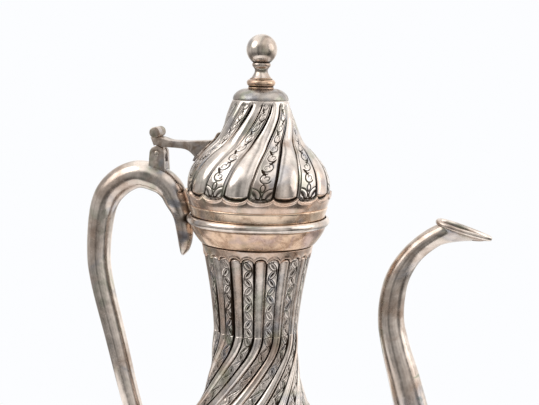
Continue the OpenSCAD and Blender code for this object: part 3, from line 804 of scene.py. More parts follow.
@dataclass
class FlutedShell:
    """A thin double wall with lobes that run up it, plain and engraved in turn.

    Args:
        name: Name of the piece.
        profile: Outer points [radius, height] over the lobes' crests, going up.
        turns: Turn of the lobes at each profile point, in degrees.
        lobes: Number of lobes.
        first: Angle of an engraved lobe's middle where the turn is 0, in degrees.
        spacing: Distance between rows, along the profile: one value, or one at each end.
        columns: Points across an engraved and a plain lobe.
        depth: Depth of the valleys beside a plain lobe.
        wall: Thickness between the deepest valley and the inner wall.
        ornament: What is engraved.
        low_end: How the lobes stop at the bottom edge.
        high_end: How the lobes stop at the top edge.
        low_stop: Height where the lobes' rounded lower ends reach.
        high_stop: Height where the lobes' rounded upper ends reach.
        dark_rows: Heights and shares of extra darkening in the valleys, which is tarnish and painted shade.
        ornament_from: Height where the ornament's first leaf starts.
        round_ridge: Whether plain lobes are steep half-round ridges instead of broad pillows.
        pocket_reach: How far the sunk ends reach into an engraved and a plain lobe.
        border: Distance of the border lines from an engraved lobe's edges, or 0 for none.
        holes: Places [distance along Y, height] of the sieve's holes.
        hole_radius: Their radius.
    """

    name: str
    profile: np.ndarray
    turns: np.ndarray
    lobes: int
    first: float
    spacing: tuple[float, float]
    columns: tuple[int, int]
    depth: float
    wall: float
    ornament: Ornament
    low_end: FluteEnd = FluteEnd.RUN_OUT
    high_end: FluteEnd = FluteEnd.RUN_OUT
    low_stop: float = 0.0
    high_stop: float = 0.0
    dark_rows: tuple = ((0.0, 0.5), (400.0, 0.5))
    ornament_from: float = 0.0
    round_ridge: bool = False
    pocket_reach: tuple[float, float] = (1.0, 2.8)
    border: float = 0.0
    holes: tuple = ()
    hole_radius: float = 0.0

    def rows(self) -> tuple[np.ndarray, np.ndarray, np.ndarray]:
        """Spaces rows along the profile.

        Returns:
            Each row's distance along the profile, [radius, height] and turn.
        """
        lengths = lengths_along(self.profile)
        low, high = self.spacing
        count = max(2, int(round(lengths[-1] / ((low + high) / 2))))
        t = np.linspace(0, 1, count + 1)
        share = t * 2 / (1 + high / low) + t**2 * (1 - 2 / (1 + high / low))
        s = share * lengths[-1]
        points = np.stack([np.interp(s, lengths, self.profile[:, k]) for k in (0, 1)], 1)
        return s, points, np.radians(np.interp(s, lengths, self.turns))

    def across(self) -> tuple[np.ndarray, np.ndarray, np.ndarray]:
        """Spaces columns around the shell, closer together beside the valleys.

        Returns:
            Each column's angle, place across its lobe from -1 to 1, and whether the lobe is engraved.
        """
        angles, places, engraved = [], [], []
        width = 2 * math.pi / self.lobes
        for k in range(self.lobes):
            chased = k % 2 == 0
            count = self.columns[0] if chased else self.columns[1]
            u = np.linspace(-1, 1, count, endpoint=False) + 1 / count
            if not chased:
                u = np.sin(u * math.pi / 2)
            angles.append(math.radians(self.first) + (k + u / 2) * width)
            places.append(u)
            engraved.append(np.full(count, chased))
        return np.concatenate(angles), np.concatenate(places), np.concatenate(engraved)

    def lobe_form(self, u: np.ndarray, engraved: np.ndarray) -> np.ndarray:
        """Gives how far the lobe's surface lies below its crest, as a share of the depth.

        Args:
            u: Place across the lobe from -1 to 1.
            engraved: Whether the lobe is flat-topped for engraving.

        Returns:
            The share, 0 on the crest and 1 in the valley.
        """
        reach, power, sharp = (0.93, 2.0, 0.5) if self.round_ridge else (1.0, 2.4, 0.6)
        plain = 1 - np.clip(1 - np.abs(u / reach) ** power, 0, 1) ** sharp
        flat = 0.26 + 0.12 * u**2 + 0.62 * ease(np.abs(u), 0.8, 0.97) - 0.1 * line(np.abs(u) - 0.79, 0.06)
        return np.where(engraved, flat, plain)

    def pocket(self, gap: np.ndarray, engraved: np.ndarray) -> tuple[np.ndarray, np.ndarray, np.ndarray]:
        """Shapes the rounded end of a lobe.

        Args:
            gap: Distance inside the rounded end, below 0 outside it.
            engraved: Whether the lobe is engraved.

        Returns:
            How much of the lobe's form shows, how deep the end is sunk, and its lip.
        """
        inside = ease(gap, -0.25, 0.25)
        reach = np.where(engraved, *self.pocket_reach)
        sunk = inside * (1 - ease(gap, 0.45, 0.9) * ease(gap / reach, 0.2, 1.0))
        lip = line(gap + 0.6, 0.8)
        return inside, sunk, lip

    def build(self, tree: bpy.types.NodeTree, material: bpy.types.Material) -> bpy.types.Object:
        """Builds the shell and runs the chased-shell tree on it.

        Args:
            tree: The tree that raises the flutes.
            material: The shell's finish.

        Returns:
            The finished object.
        """
        s, profile, turns = self.rows()
        angles, u, engraved = self.across()
        radius, height = profile[:, :1], profile[:, 1:]
        theta = angles[None] + turns[:, None]
        half = math.pi * radius / self.lobes
        u_mm = u[None] * half
        form = np.repeat(self.lobe_form(u, engraved)[None], len(s), 0)
        slope = np.gradient(profile, s, axis=0)
        normal = np.stack([slope[:, 1], -slope[:, 0]], 1)
        normal /= np.linalg.norm(normal, axis=1)[:, None]
        run = np.hypot(1, radius[:, 0] * np.gradient(turns, s))
        along = np.concatenate([[0], np.cumsum((run[1:] + run[:-1]) / 2 * np.diff(s))])[:, None]
        start = np.interp(self.ornament_from, profile[:, 1], along[:, 0])
        flip = -1.0 if self.ornament is Ornament.LEAVES else 1.0
        cut = self.ornament.cut(u_mm, (along - start) * flip, half + 0 * u_mm)
        rim_gap = half - np.abs(u_mm)
        cut = cut * ease(rim_gap, 0.6, 0.9)
        if self.border:
            kept = cut * ease(rim_gap, self.border, self.border + 0.4)
            cut = np.maximum(kept, 0.8 * line(rim_gap - self.border, 0.4))
        cut = cut * engraved[None]
        show, sunk, lip, bare = np.ones_like(theta), *(np.zeros_like(theta) for _ in range(3))
        bulge = half * (1 - np.sqrt(np.clip(1 - u[None] ** 2, 0, 1)))
        if self.low_end is FluteEnd.ROUND_POCKET:
            gap = height - self.low_stop - bulge * 0.4
            inside, deep, edge = self.pocket(gap, engraved[None])
            show, sunk, lip, bare = show * inside, sunk + deep, lip + edge, bare + 1 - inside
            cut = cut * ease(gap, 0.4, 0.9)
        if self.high_end is FluteEnd.ROUND_POCKET:
            gap = self.high_stop - height - bulge * 0.9
            inside, deep, edge = self.pocket(gap, engraved[None])
            show, sunk, lip, bare = show * inside, sunk + 1.2 * deep, lip + 0.3 * edge, bare + 1 - inside
            cut = cut * ease(gap, 0.8, 1.3)
        if self.high_end is FluteEnd.FADE:
            fade = ease(self.profile[-1, 1] - height + 0 * theta, 0.3, 2.6)
            show, cut = show * fade, cut * ease(fade, 0.2, 0.6)
        if self.low_end is FluteEnd.FADE:
            fade = ease(height - self.profile[0, 1] + 0 * theta, 0.5, 6.0)
            show, cut = show * fade, cut * ease(fade, 0.2, 0.6)
        hollow = np.clip(np.maximum(form * show, sunk * 0.9), 0, 1.1)
        # The valleys darken through the tarnish attribute: partly tarnish, partly painted shade.
        heights, shares = zip(*self.dark_rows)
        extra = np.interp(height, heights, shares)
        patch = np.clip(0.5 + 0.6 * wander(theta * 3, height * 0.12, len(self.name)), 0, 1)
        right = u[None] > 0
        # Painted shade: the dark band is wider in the valley right of each engraved lobe than in the one left
        # of it.
        side = np.where(engraved[None], np.where(right, 0.72, 0.32), np.where(right, 0.36, 0.6))
        reach = side * (0.5 + 0.4 * patch + 1.1 * extra * patch)
        valley = np.exp(-((rim_gap / reach) ** 2)) * show
        # Painted shadow and tarnish: the lobes' sunk ends darken, as the shadow under their step and the oxide
        # in it.
        end_stain_and_shadow = np.where(engraved[None], 0.5, 0.68)
        dark = valley * (0.6 + 0.6 * extra) + 0.8 * cut + end_stain_and_shadow * ease(sunk, 0.6, 1.0)
        dark = dark + extra * ease(hollow, 0.3, 0.9) * 0.7 * patch * show
        dark = np.clip(dark * (0.85 + 0.25 * patch), 0, 1)
        gold = np.clip(bare + np.where(engraved[None], 0.0, 0.6) * ease(patch, 0.55, 0.95), 0, 1)
        x, y = radius * np.cos(theta), radius * np.sin(theta)
        points = np.stack([x, y, height + 0 * theta], -1).reshape(-1, 3)
        out = np.stack(
            [normal[:, :1] * np.cos(theta), normal[:, :1] * np.sin(theta), normal[:, 1:] + 0 * theta], -1
        ).reshape(-1, 3)
        outer = Skin(
            points, grid_quads(*theta.shape),
            attributes={
                "out": out, "hollow": hollow.ravel(), "cut": cut.ravel(), "lip": lip.ravel(),
                "tarnish": dark.ravel(), "warm": gold.ravel(),
            },
        )
        if self.holes:
            skin = self.drilled(outer, profile, angles, turns)
        else:
            skin = self.lined(outer, profile, angles)
        values = {"Material": material, "Flute depth": self.depth, "Cut depth": 0.28, "Lip height": 0.5}
        return grown(skin.object(self.name), tree, values)

    def inner_profile(self, profile: np.ndarray) -> np.ndarray:
        """Gives the inner wall's profile, one wall and one flute depth inside the outer one."""
        inner = profile.copy()
        inner[:, 0] -= self.wall + self.depth
        return inner

    def with_inner(self, outer: Skin, count: int, stain_and_shade: float) -> dict[str, np.ndarray]:
        """Lengthens the outer skin's attributes by the inner wall's points, plain but for an even darkening,
        tarnish and painted shade.
        """
        made = {}
        for key, values in outer.attributes.items():
            fill = np.full((count, *values.shape[1:]), stain_and_shade if key == "tarnish" else 0.0)
            made[key] = np.concatenate([values, fill])
        return made

    def lined(self, outer: Skin, profile: np.ndarray, angles: np.ndarray) -> Skin:
        """Adds a plain, coarser inner wall and closes both edges.

        Args:
            outer: The outer skin.
            profile: The outer rows.
            angles: The outer columns.

        Returns:
            The closed double wall.
        """
        columns, spans = 120, 40
        rows = self.inner_profile(profile[:: max(1, len(profile) // spans)])
        last = self.inner_profile(profile[-1:])
        if not np.allclose(rows[-1], last[0]):
            rows = np.vstack([rows, last])
        points = around(rows, float(angles[0]) + even_angles(columns)).reshape(-1, 3)
        base, n = len(outer.points), len(angles)
        low_in, high_in = base + np.arange(columns), base + len(points) - columns + np.arange(columns)
        low_out, high_out = np.arange(n), base - n + np.arange(n)
        inner_quads = base + grid_quads(len(rows), columns)[:, ::-1]
        edges = np.vstack([stitch(high_in, high_out), stitch(low_in, low_out)[:, ::-1]])
        attributes = self.with_inner(outer, len(points), 0.22)
        walls = np.vstack([outer.points, points])
        return Skin(walls, np.vstack([outer.quads, inner_quads]), edges, attributes)

    def drilled(self, outer: Skin, profile: np.ndarray, angles: np.ndarray, turns: np.ndarray) -> Skin:
        """Adds an inner wall with the same columns and drills round holes through both walls.

        Args:
            outer: The outer skin.
            profile: The outer rows.
            angles: The outer columns.
            turns: Turn of each row.

        Returns:
            The closed double wall with its holes.
        """
        rows, n = len(profile), len(angles)
        theta = angles[None] + turns[:, None]
        points = around(self.inner_profile(profile), theta).reshape(-1, 3)
        centre = (theta[:-1] + np.roll(theta[:-1], -1, 1)) / 2
        centre[:, -1] = theta[:-1, -1] + math.pi / self.lobes / self.columns[1]
        middle_z = (profile[:-1, 1:] + profile[1:, 1:]) / 2
        middle_r = (profile[:-1, :1] + profile[1:, :1]) / 2
        open_ = np.zeros(centre.shape, bool)
        for angle, z in self.holes:
            turn = (centre - math.radians(angle) + math.pi) % (2 * math.pi) - math.pi
            open_ |= np.hypot(turn * middle_r, middle_z - z) < self.hole_radius
        base = len(outer.points)
        kept = ~open_.ravel()
        quads = [outer.quads[kept], base + outer.quads[kept][:, ::-1]]
        sides = []
        for axis, shift, pick in ((1, -1, (1, 2)), (1, 1, (3, 0)), (0, -1, (2, 3)), (0, 1, (0, 1))):
            beside = np.roll(open_, shift, axis)
            edge = (open_ & ~beside).ravel()
            a, b = outer.quads[edge][:, pick[0]], outer.quads[edge][:, pick[1]]
            sides.append(np.stack([a, b, b + base, a + base], 1))
        last = (rows - 1) * n
        ring = np.arange(n)
        after = np.roll(ring, -1)
        low = np.stack([after, ring, ring + base, after + base], 1)
        high = np.stack([ring + last, after + last, after + last + base, ring + last + base], 1)
        attributes = self.with_inner(outer, len(points), 0.25)
        return Skin(
            np.vstack([outer.points, points]), np.vstack([*quads, *sides, low, high]), attributes=attributes
        )


# ---------------------------------------------------------------- sizes and shared steps


@dataclass(frozen=True)
class PotSizes:
    """The pot's leading sizes, in millimetres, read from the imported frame.

    Args:
        rim_r: Outer radius of the rim bead.
        rim_z: Height of the rim bead's middle.
        belly_r: Radius of the belly.
        belly_z: Height of the belly's widest line.
        foot_r: Radius of the foot.
        ring_h: Height of the foot ring.
        knop: Lower and upper height of the knop, and its radius.
        neck: Lower and upper height of the neck, and its radius at the top.
        dome: Lower and upper height of the lid's dome, and its widest radius.
        cap_top: Height of the cap's top.
        ball: Height of the ball's middle, and its radius.
        pin: Where the hinge pin lies: x and height.
        mouth: Lowest and highest x of the pouring lip, and its width.
    """

    rim_r: float
    rim_z: float
    belly_r: float
    belly_z: float
    foot_r: float
    ring_h: float
    knop: tuple[float, float, float]
    neck: tuple[float, float, float]
    dome: tuple[float, float, float]
    cap_top: float
    ball: tuple[float, float]
    pin: tuple[float, float]
    mouth: tuple[float, float, float]

    @classmethod
    def from_frame(cls, frame: dict) -> "PotSizes":
        """Reads the sizes.


        Returns:
            The sizes in millimetres.
        """

        def span(node: str) -> tuple[float, float, float]:
            """Gives a node's lowest and highest height and its reach along Y."""
            low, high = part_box(node)
            return low.z / MM, high.z / MM, high.y / MM

        bead, ball = span("rim_bead"), span("finial_ball")
        pin = next(j for j in frame["joints"] if j["name"] == "lid_hinge")["pos_m"]
        lip_low, lip_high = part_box("spout_mouth")
        return cls(
            rim_r=bead[2], rim_z=(bead[0] + bead[1]) / 2, belly_r=span("body_upper")[2],
            belly_z=span("body_lower")[1], foot_r=span("foot_ring")[2], ring_h=span("foot_ring")[1],
            knop=span("foot_knop"), neck=span("neck"), dome=span("lid_dome"), cap_top=span("lid_cap")[1],
            ball=(ball[1] - ball[2], ball[2]), pin=(pin[0] / MM, pin[2] / MM),
            mouth=(lip_low.x / MM, lip_high.x / MM, (lip_high.y - lip_low.y) / MM),
        )

    @property
    def stretch(self) -> float:
        """How tall the pot below its rim is beside one whose rim stands 196 mm high."""
        return self.rim_z / 196

    def belly_profile(self) -> np.ndarray:
        """Gives the belly's outer points [radius, height] from the knop to the neck's seam."""
        k, neck_r = self.stretch, 21.4 * self.rim_r / 35.7
        keys = [
            [self.foot_r * 0.37, 21.5], [self.belly_r * 0.52, 26.5], [self.belly_r * 0.8, 36],
            [self.belly_r * 0.955, 47],
        ]
        shares = ((1, 59), (0.93, 70.5), (0.7, 82), (0.4, 94), (0.17, 106), (0.045, 120.5), (0, 140))
        keys += [[neck_r + (self.belly_r - neck_r) * share, z] for share, z in shares]
        points = curve([[r, z * k] for r, z in keys], 8)
        points[-1, 1] = self.neck[0]
        return points

    def belly_radius(self, z: np.ndarray) -> np.ndarray:
        """Gives the belly's radius at heights z."""
        profile = self.belly_profile()
        return np.interp(z, profile[:, 1], profile[:, 0])


def lobe_turns(profile: np.ndarray, slants: list) -> np.ndarray:
    """Adds up the turn of slanted lobes along a profile.

    Args:
        profile: Points [radius, height].
        slants: Pairs of a height and the lobes' slant from the upright there, in degrees.

    Returns:
        The turn at each point in degrees, 0 at the last one.
    """
    steps = np.linalg.norm(np.diff(profile, axis=0), axis=1)
    middle = (profile[1:] + profile[:-1]) / 2
    heights, values = zip(*slants)
    slant = np.radians(np.interp(middle[:, 1], heights, values))
    turn = np.concatenate([[0], np.cumsum(np.degrees(np.tan(slant) * steps / middle[:, 0]))])
    return turn - turn[-1]


def dress(piece: bpy.types.Object, finish: PlatedMetal, finishes: Finishes, body: str, nodes: tuple) -> None:
    """Gives a finished piece its material, its body and the nodes that it stands for.

    Args:
        piece: The piece.
        finish: Its finish.
        finishes: The materials made so far.
        body: The body that it rides on.
        nodes: Names of the nodes that it replaces.
    """
    piece.data.materials.clear()
    piece.data.materials.append(finishes.get(finish))
    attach(piece, body)
    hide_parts(*nodes)
    log.info("%s: %d faces on %s", piece.name, len(piece.data.polygons), body)


def softened(node: str, name: str, frame: dict, bevel: float, tarnish: float) -> bpy.types.Object:
    """Copies a node's mesh, merges it, flattens it into real faces and rounds its edges.

    Args:
        node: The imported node.
        name: Name of the new piece.
        bevel: Width of the rounded edge, in millimetres.
        tarnish: Tarnish that covers the piece, from 0 to 1.

    Returns:
        The new object, not yet riding on anything.
    """
    shape = bmesh.new()
    shape.from_mesh(frame["nodes"][node].data)
    bmesh.ops.remove_doubles(shape, verts=shape.verts, dist=0.004 * MM)
    bmesh.ops.dissolve_limit(
        shape, angle_limit=FLAT_ANGLE, use_dissolve_boundaries=False, verts=shape.verts, edges=shape.edges,
        delimit={"NORMAL"},
    )
    sharp = [e for e in shape.edges if len(e.link_faces) == 2 and e.calc_face_angle(0) > BEVEL_ANGLE]
    bmesh.ops.bevel(
        shape, geom=sharp, offset=bevel * MM, offset_type="OFFSET", segments=3, profile=0.5, affect="EDGES",
        clamp_overlap=True,
    )
    bmesh.ops.triangulate(shape, faces=[f for f in shape.faces if len(f.verts) > 4])
    made = bpy.data.meshes.new(name)
    shape.to_mesh(made)
    shape.free()
    for face in made.polygons:
        face.use_smooth = True
    made.set_sharp_from_angle(angle=SHADE_ANGLE)
    layer = made.attributes.new("tarnish", "FLOAT", "POINT")
    layer.data.foreach_set("value", np.full(len(made.vertices), tarnish, np.float32))
    return placed(name, made)


def reworked(mesh: bpy.types.Mesh, work: Callable[[bmesh.types.BMesh], None]) -> None:
    """Runs a change on a mesh through bmesh, then turns its faces outwards."""
    shape = bmesh.new()
    shape.from_mesh(mesh)
    work(shape)
    bmesh.ops.recalc_face_normals(shape, faces=shape.faces)
    shape.to_mesh(mesh)
    shape.free()


def path_object(name: str, path: np.ndarray) -> bpy.types.Object:
    """Makes a line of edges along [x, height, radius] points in the plane of the handle and spout."""
    made = bpy.data.meshes.new(name)
    points = [(x * MM, 0.0, z * MM) for x, z, _ in path]
    made.from_pydata(points, [(i, i + 1) for i in range(len(points) - 1)], [])
    made.attributes.new("radius", "FLOAT", "POINT").data.foreach_set("value", path[:, 2].astype(np.float32))
    return placed(name, made)


def read_points(mesh: bpy.types.Mesh) -> np.ndarray:
    """Reads a mesh's points in millimetres."""
    points = np.zeros(len(mesh.vertices) * 3, np.float32)
    mesh.vertices.foreach_get("co", points)
    return points.reshape(-1, 3).astype(float) / MM


def write_points(mesh: bpy.types.Mesh, points: np.ndarray) -> None:
    """Moves a mesh's points to places in millimetres."""
    mesh.vertices.foreach_set("co", (points * MM).astype(np.float32).ravel())


def set_tarnish_and_shade(mesh: bpy.types.Mesh, values: np.ndarray) -> None:
    """Writes a mesh's tarnish attribute, which also carries painted shade."""
    layer = mesh.attributes.get("tarnish") or mesh.attributes.new("tarnish", "FLOAT", "POINT")
    layer.data.foreach_set("value", np.clip(values, 0, 1).astype(np.float32))


def onto_belly(points: np.ndarray, sizes: PotSizes, depth: float) -> np.ndarray:
    """Moves the points that lie inside the belly along X to just under its surface.

    Args:
        points: Places in millimetres.
        sizes: The pot's sizes.
        depth: How far under the lobes' crests they end.

    Returns:
        The moved points.
    """
    moved = points.copy()
    limit = sizes.belly_radius(points[:, 2]) - depth
    inside = np.hypot(points[:, 0], points[:, 1]) < limit
    x = np.sqrt(np.maximum(limit**2 - points[:, 1] ** 2, 0)) * np.sign(points[:, 0])
    moved[inside, 0] = x[inside]
    return moved


# ---------------------------------------------------------------- sub-assemblies


@dataclass
class Vessel:
    """Foot, fluted belly and neck, the cup under the rim and the rim bead.

    Args:
        sizes: The pot's sizes.
        finishes: The materials made so far.
        chased: The tree that raises flutes.
        lobes: Lobes around the neck and belly.
        wall: Thickness of the sheet metal.
        depth: Depth of the valleys.
        first: Angle of an engraved lobe's middle where the turn is 0, in degrees.
    """

    sizes: PotSizes
    finishes: Finishes
    chased: bpy.types.NodeTree
    lobes: int = 26
    wall: float = 1.0
    depth: float = 1.9
    first: float = -85.0

    def build(self) -> None:
        """Builds and dresses every piece of the vessel."""
        self.build_belly()
        self.build_neck()
        self.build_foot()
        self.build_rim()

    def shell(self, **values: object) -> None:
        """Builds and dresses one fluted shell that replaces the node of its name."""
        finish = values.pop("finish", SPUN_SILVER)
        node = values["name"]
        shell = FlutedShell(
            **{
                "lobes": self.lobes, "first": self.first, "wall": self.wall, "depth": self.depth,
                "round_ridge": True, "pocket_reach": (0.9, 1.2), **values,
            }
        )
        dress(shell.build(self.chased, self.finishes.get(finish)), finish, self.finishes, "pot", (node,))

    def build_belly(self) -> None:
        """Builds the two halves of the belly, whose lobes swirl down from the neck's seam."""
        profile = self.sizes.belly_profile()
        slants = [(0, 30), (60, 34), (110, 38), (128, 36), (134, 22), (140, 6)]
        turns = lobe_turns(profile, [(z * self.sizes.stretch, slant) for z, slant in slants])
        widest = self.sizes.belly_z
        split = int(np.argmin(abs(profile[:, 1] - widest)))
        lower, upper = slice(0, split + 1), slice(split, None)
        sieve = [
            (dx, widest * 0.74 + row * 5.4)
            for row in (-1, 0, 1)
            for dx in (np.array([-7.5, -2.5, 2.5, 7.5]) if row else np.array([-5.0, 0.0, 5.0]))
        ]
        self.shell(
            name="body_lower", profile=profile[lower], turns=turns[lower],
            spacing=(0.9, 1.3), columns=(24, 14),
            ornament=Ornament.LEAVES, low_end=FluteEnd.FADE, dark_rows=((0, 0.5), (60, 0.4)),
            ornament_from=widest, holes=tuple(sieve), hole_radius=1.6,
        )
        self.shell(
            name="body_upper", profile=profile[upper], turns=turns[upper],
            spacing=(1.0, 0.42), columns=(32, 15),
            ornament=Ornament.LEAVES, ornament_from=self.sizes.neck[0],
            dark_rows=((60, 0.4), (110, 0.75), (136, 0.95), (140, 0.5)),
        )

    def build_neck(self) -> None:
        """Builds the neck, whose straight lobes end in round arches under a plain band."""
        low, high, top_r = self.sizes.neck
        foot_r = self.sizes.belly_profile()[-1, 0]
        t = np.linspace(0, 1, 33)
        profile = np.stack([foot_r + (top_r - foot_r) * t**1.5, low + (high - low) * t], 1)
        self.shell(
            name="neck", profile=profile, turns=np.zeros(len(t)), spacing=(0.3, 0.24), columns=(24, 17),
            ornament=Ornament.LEAVES, high_end=FluteEnd.ROUND_POCKET, high_stop=high - 3.6,
            ornament_from=high - 5.3, dark_rows=((140, 1.0), (152, 0.9), (165, 0.35), (184, 0.25)),
        )

    def build_foot(self) -> None:
        """Builds the foot's ring, its fluted shell and the knop under the belly."""
        ring_h, foot_r = self.sizes.ring_h, self.sizes.foot_r
        low, high, knop_r = self.sizes.knop
        t = np.linspace(0, 1, 21)
        rise = 1 - np.sin(np.radians(90 * t))
        profile = np.stack(
            [knop_r - 1.4 + (foot_r - 2.6 - knop_r + 1.4) * rise, ring_h + (low - ring_h) * t], 1
        )
        self.shell(
            name="foot_shell", profile=profile, turns=np.zeros(len(t)), spacing=(0.5, 0.5), columns=(14, 12),
            depth=0.9, ornament=Ornament.NONE, low_end=FluteEnd.FADE, high_end=FluteEnd.FADE,
            dark_rows=((0, 0.3), (20, 0.6)),
        )
        base = [[foot_r - 4.4, 0], [foot_r - 2, 0], *arc((foot_r - 2, ring_h / 2), ring_h / 2, -80, 80, 12)]
        ring = turned([*base, [foot_r - 2.6, ring_h], [foot_r - 4.4, ring_h]], 160, 0.4, 0.8, 0.12)
        dress(ring.object("foot_ring_spun"), BURNISHED_SILVER, self.finishes, "pot", ("foot_ring",))
        middle, swell = (low + high) / 2, (high - low) * 0.36
        neck_r = knop_r - swell + 0.1
        outline = [
            [neck_r - 3, low], [neck_r, low], *arc((knop_r - swell, middle), swell, -80, 80, 16),
            [neck_r, high], [neck_r - 3, high],
        ]
        knop = turned(outline, 96, 0.3, 0.9, 0.1)
        dress(knop.object("foot_knop_spun"), BURNISHED_SILVER, self.finishes, "pot", ("foot_knop",))

    def build_rim(self) -> None:
        """Builds the convex cup under the rim and the half-round bead that carries the lid."""
        rim, z, band_r = self.sizes.rim_r, self.sizes.rim_z, self.sizes.neck[2]
        groove, foot = self.sizes.neck[1], 1.6
        keys = [[band_r + 1, z - 11], [rim - 5.2, z - 9], [rim - 3, z - 5.6], [rim - 1.6, z - 2.2]]
        bowl = curve(keys, 6).tolist()
        outline = [
            [band_r - 0.6, groove], [band_r - 0.7, z - 11.6], [band_r + 0.5, z - 11.35], *bowl,
            [rim - 1.6 - foot, z - 2.2],
            *[[r - foot, h] for r, h in reversed(bowl[:-1])], [band_r - 0.6 - foot, z - 11.6],
            [band_r - 0.6 - foot, groove],
        ]
        cup = turned(outline, 192, 0.35, 0.7, 0.08)
        dress(cup.object("rim_cup_spun"), GILT_SILVER, self.finishes, "pot", ("rim_cup",))
        bead, ledge, lip, seat = 2.25, rim - 3.8, rim - 1.7, 0.8
        outline = [
            [ledge, z - bead], *arc((rim - bead, z), bead, -90, 76, 24), [lip, z + seat], [ledge, z + seat],
        ]
        rim_bead = turned(outline, 192, 0.3, 0.5, 0.05)
        dress(rim_bead.object("rim_bead_drawn"), BURNISHED_SILVER, self.finishes, "pot", ("rim_bead",))


@dataclass
class Spout:
    """Swan-neck spout and its leaf-shaped pouring lip.

    Args:
        sizes: The pot's sizes.
        finishes: The materials made so far.
        tube: The tree that sweeps a tube.
        wall: Thickness of the metal.
        radius: Outer radius at the narrowest.
        tilt: How far the lip's plane leans down, in degrees.
        sides: Sides of the swept tube's section.
    """

    sizes: PotSizes
    finishes: Finishes
    tube: bpy.types.NodeTree
    wall: float = 1.1
    radius: float = 4.9
    tilt: float = 15.5
    sides: int = 56

    def path(self) -> np.ndarray:
        """Gives the centre line as [x, height, radius], from inside the belly to the lip."""
        belly, rim, k = self.sizes.belly_r, self.sizes.rim_z, self.sizes.stretch
        low = [
            (-3, 50, 3.0), (2, 51, 2.7), (8, 53.3, 2.5), (22, 61, 2.18), (32, 77, 1.93), (32.5, 97, 1.75),
            (27, 119.5, 1.6), (22, 136, 1.43), (19, 150, 1.32),
        ]
        reach = self.mouth_x - belly
        high = [
            (0.41, -32, 1.25), (0.473, -21.5, 1.15), (0.6, -11.9, 1.03), (0.77, -4.5, 1.0), (0.93, 0.0, 1.0),
        ]
        keys = [[belly + x, z * k, self.radius * r] for x, z, r in low]
        keys += [[belly + reach * x, rim + z, self.radius * r] for x, z, r in high]
        return curve(keys, 8)

    @property
    def mouth_x(self) -> float:
        """Where the bore's middle lies along X: a third of the lip's length from its inner end."""
        low, high, _ = self.sizes.mouth
        return low + (high - low) * 0.335

    def build(self) -> None:
        """Builds and dresses the tube and the lip."""
        self.build_tube()
        self.build_lip()

    def build_tube(self) -> None:
        """Sweeps the outer and inner skins and bridges their ends."""
        path = self.path()
        values = {"Material": self.finishes.get(BURNISHED_SILVER), "Sides": self.sides, "Spacing": 0.9}
        outer = grown(path_object("spout_drawn", path), self.tube, {**values, "Inset": 0.0})
        inner = grown(path_object("spout_bore", path), self.tube, {**values, "Inset": self.wall})
        shape = bmesh.new()
        shape.from_mesh(inner.data)
        bmesh.ops.reverse_faces(shape, faces=shape.faces)
        shape.from_mesh(outer.data)
        shape.edges.ensure_lookup_table()
        open_edges = [e for e in shape.edges if e.is_boundary]
        for near in (True, False):
            ends = [e for e in open_edges if (e.verts[0].co.z < 0.1) == near and e.verts[0].co.x > 0]
            bmesh.ops.bridge_loops(shape, edges=ends)
        bmesh.ops.recalc_face_normals(shape, faces=shape.faces)
        shape.to_mesh(outer.data)
        shape.free()
        bpy.data.objects.remove(inner)
        points = onto_belly(read_points(outer.data), self.sizes, 0.6)
        root = np.hypot(points[:, 0], points[:, 1]) - self.sizes.belly_radius(points[:, 2])
        write_points(outer.data, points)
        centre = path[np.argmin(abs(points[:, None, 2] - path[None, ::4, 1]), 1) * 4]
        bore = np.hypot(points[:, 1], points[:, 0] - centre[:, 0]) < centre[:, 2] - self.wall * 0.6
        near_lip = ease(points[:, 0], self.mouth_x - 14, self.mouth_x - 2) * 0.2
        # Darkened through the tarnish attribute: tarnish and painted shade where the spout meets the belly,
        # painted shade inside the bore, and a darker stretch towards the lip.
        set_tarnish_and_shade(outer.data, 0.75 * np.exp(-((root / 2.2) ** 2)) + near_lip + 0.25 * bore + 0.05)
        for face in outer.data.polygons:
            face.use_smooth = True
        dress(outer, BURNISHED_SILVER, self.finishes, "pot", ("spout",))

    def leaf(self, angles: np.ndarray, inset: float) -> np.ndarray:
        """Gives the lip's outline as [along, across], from its rounded inner end at angle 0.

        Args:
            angles: Places around the outline, in radians.
            inset: How far inside the edge the outline runs.

        Returns:
            One point for each angle, measured from the bore's middle.
        """
        low, high, width = self.sizes.mouth
        length = (high - low) / math.cos(math.radians(self.tilt)) - 0.6
        t = (1 - np.cos(angles)) / 2
        half = width / 2 * np.sin(np.pi * t**0.64) ** 0.62 * (1 - 2 * inset / width)
        along = -length * 0.33 + inset + t * (length - 2 * inset)
        return np.stack([along, np.sign(np.sin(angles)) * half], 1)

    def build_lip(self) -> None:
        """Lofts the funnel under the lip, its rolled edge, its dish and the bore."""
        count = 96
        angles = even_angles(count)
        path = self.path()
        end, before = path[-1], path[-3]
        run = (end[:2] - before[:2]) / np.linalg.norm(end[:2] - before[:2])
        tilt = math.radians(self.tilt)
        plane, up = np.array([math.cos(tilt), -math.sin(tilt)]), np.array([math.sin(tilt), math.cos(tilt)])
        middle = np.array([self.mouth_x, self.sizes.rim_z + 2.4])

        def ring(radius: float, back: float) -> np.ndarray:
            """Gives a round ring across the tube, back millimetres before its end."""
            centre = end[:2] - run * back
            side = -np.cos(angles) * radius
            across = np.array([run[1], -run[0]])
            return np.stack(
                [centre[0] + side * across[0], np.sin(angles) * radius, centre[1] + side * across[1]], 1
            )

        def edge(inset: float, rise: float) -> np.ndarray:
            """Gives a ring that follows the leaf outline, rise millimetres above the lip's plane."""
            flat = self.leaf(angles, inset)
            place = middle + flat[:, :1] * plane + rise * up
            return np.stack([place[:, 0], flat[:, 1], place[:, 1]], 1)

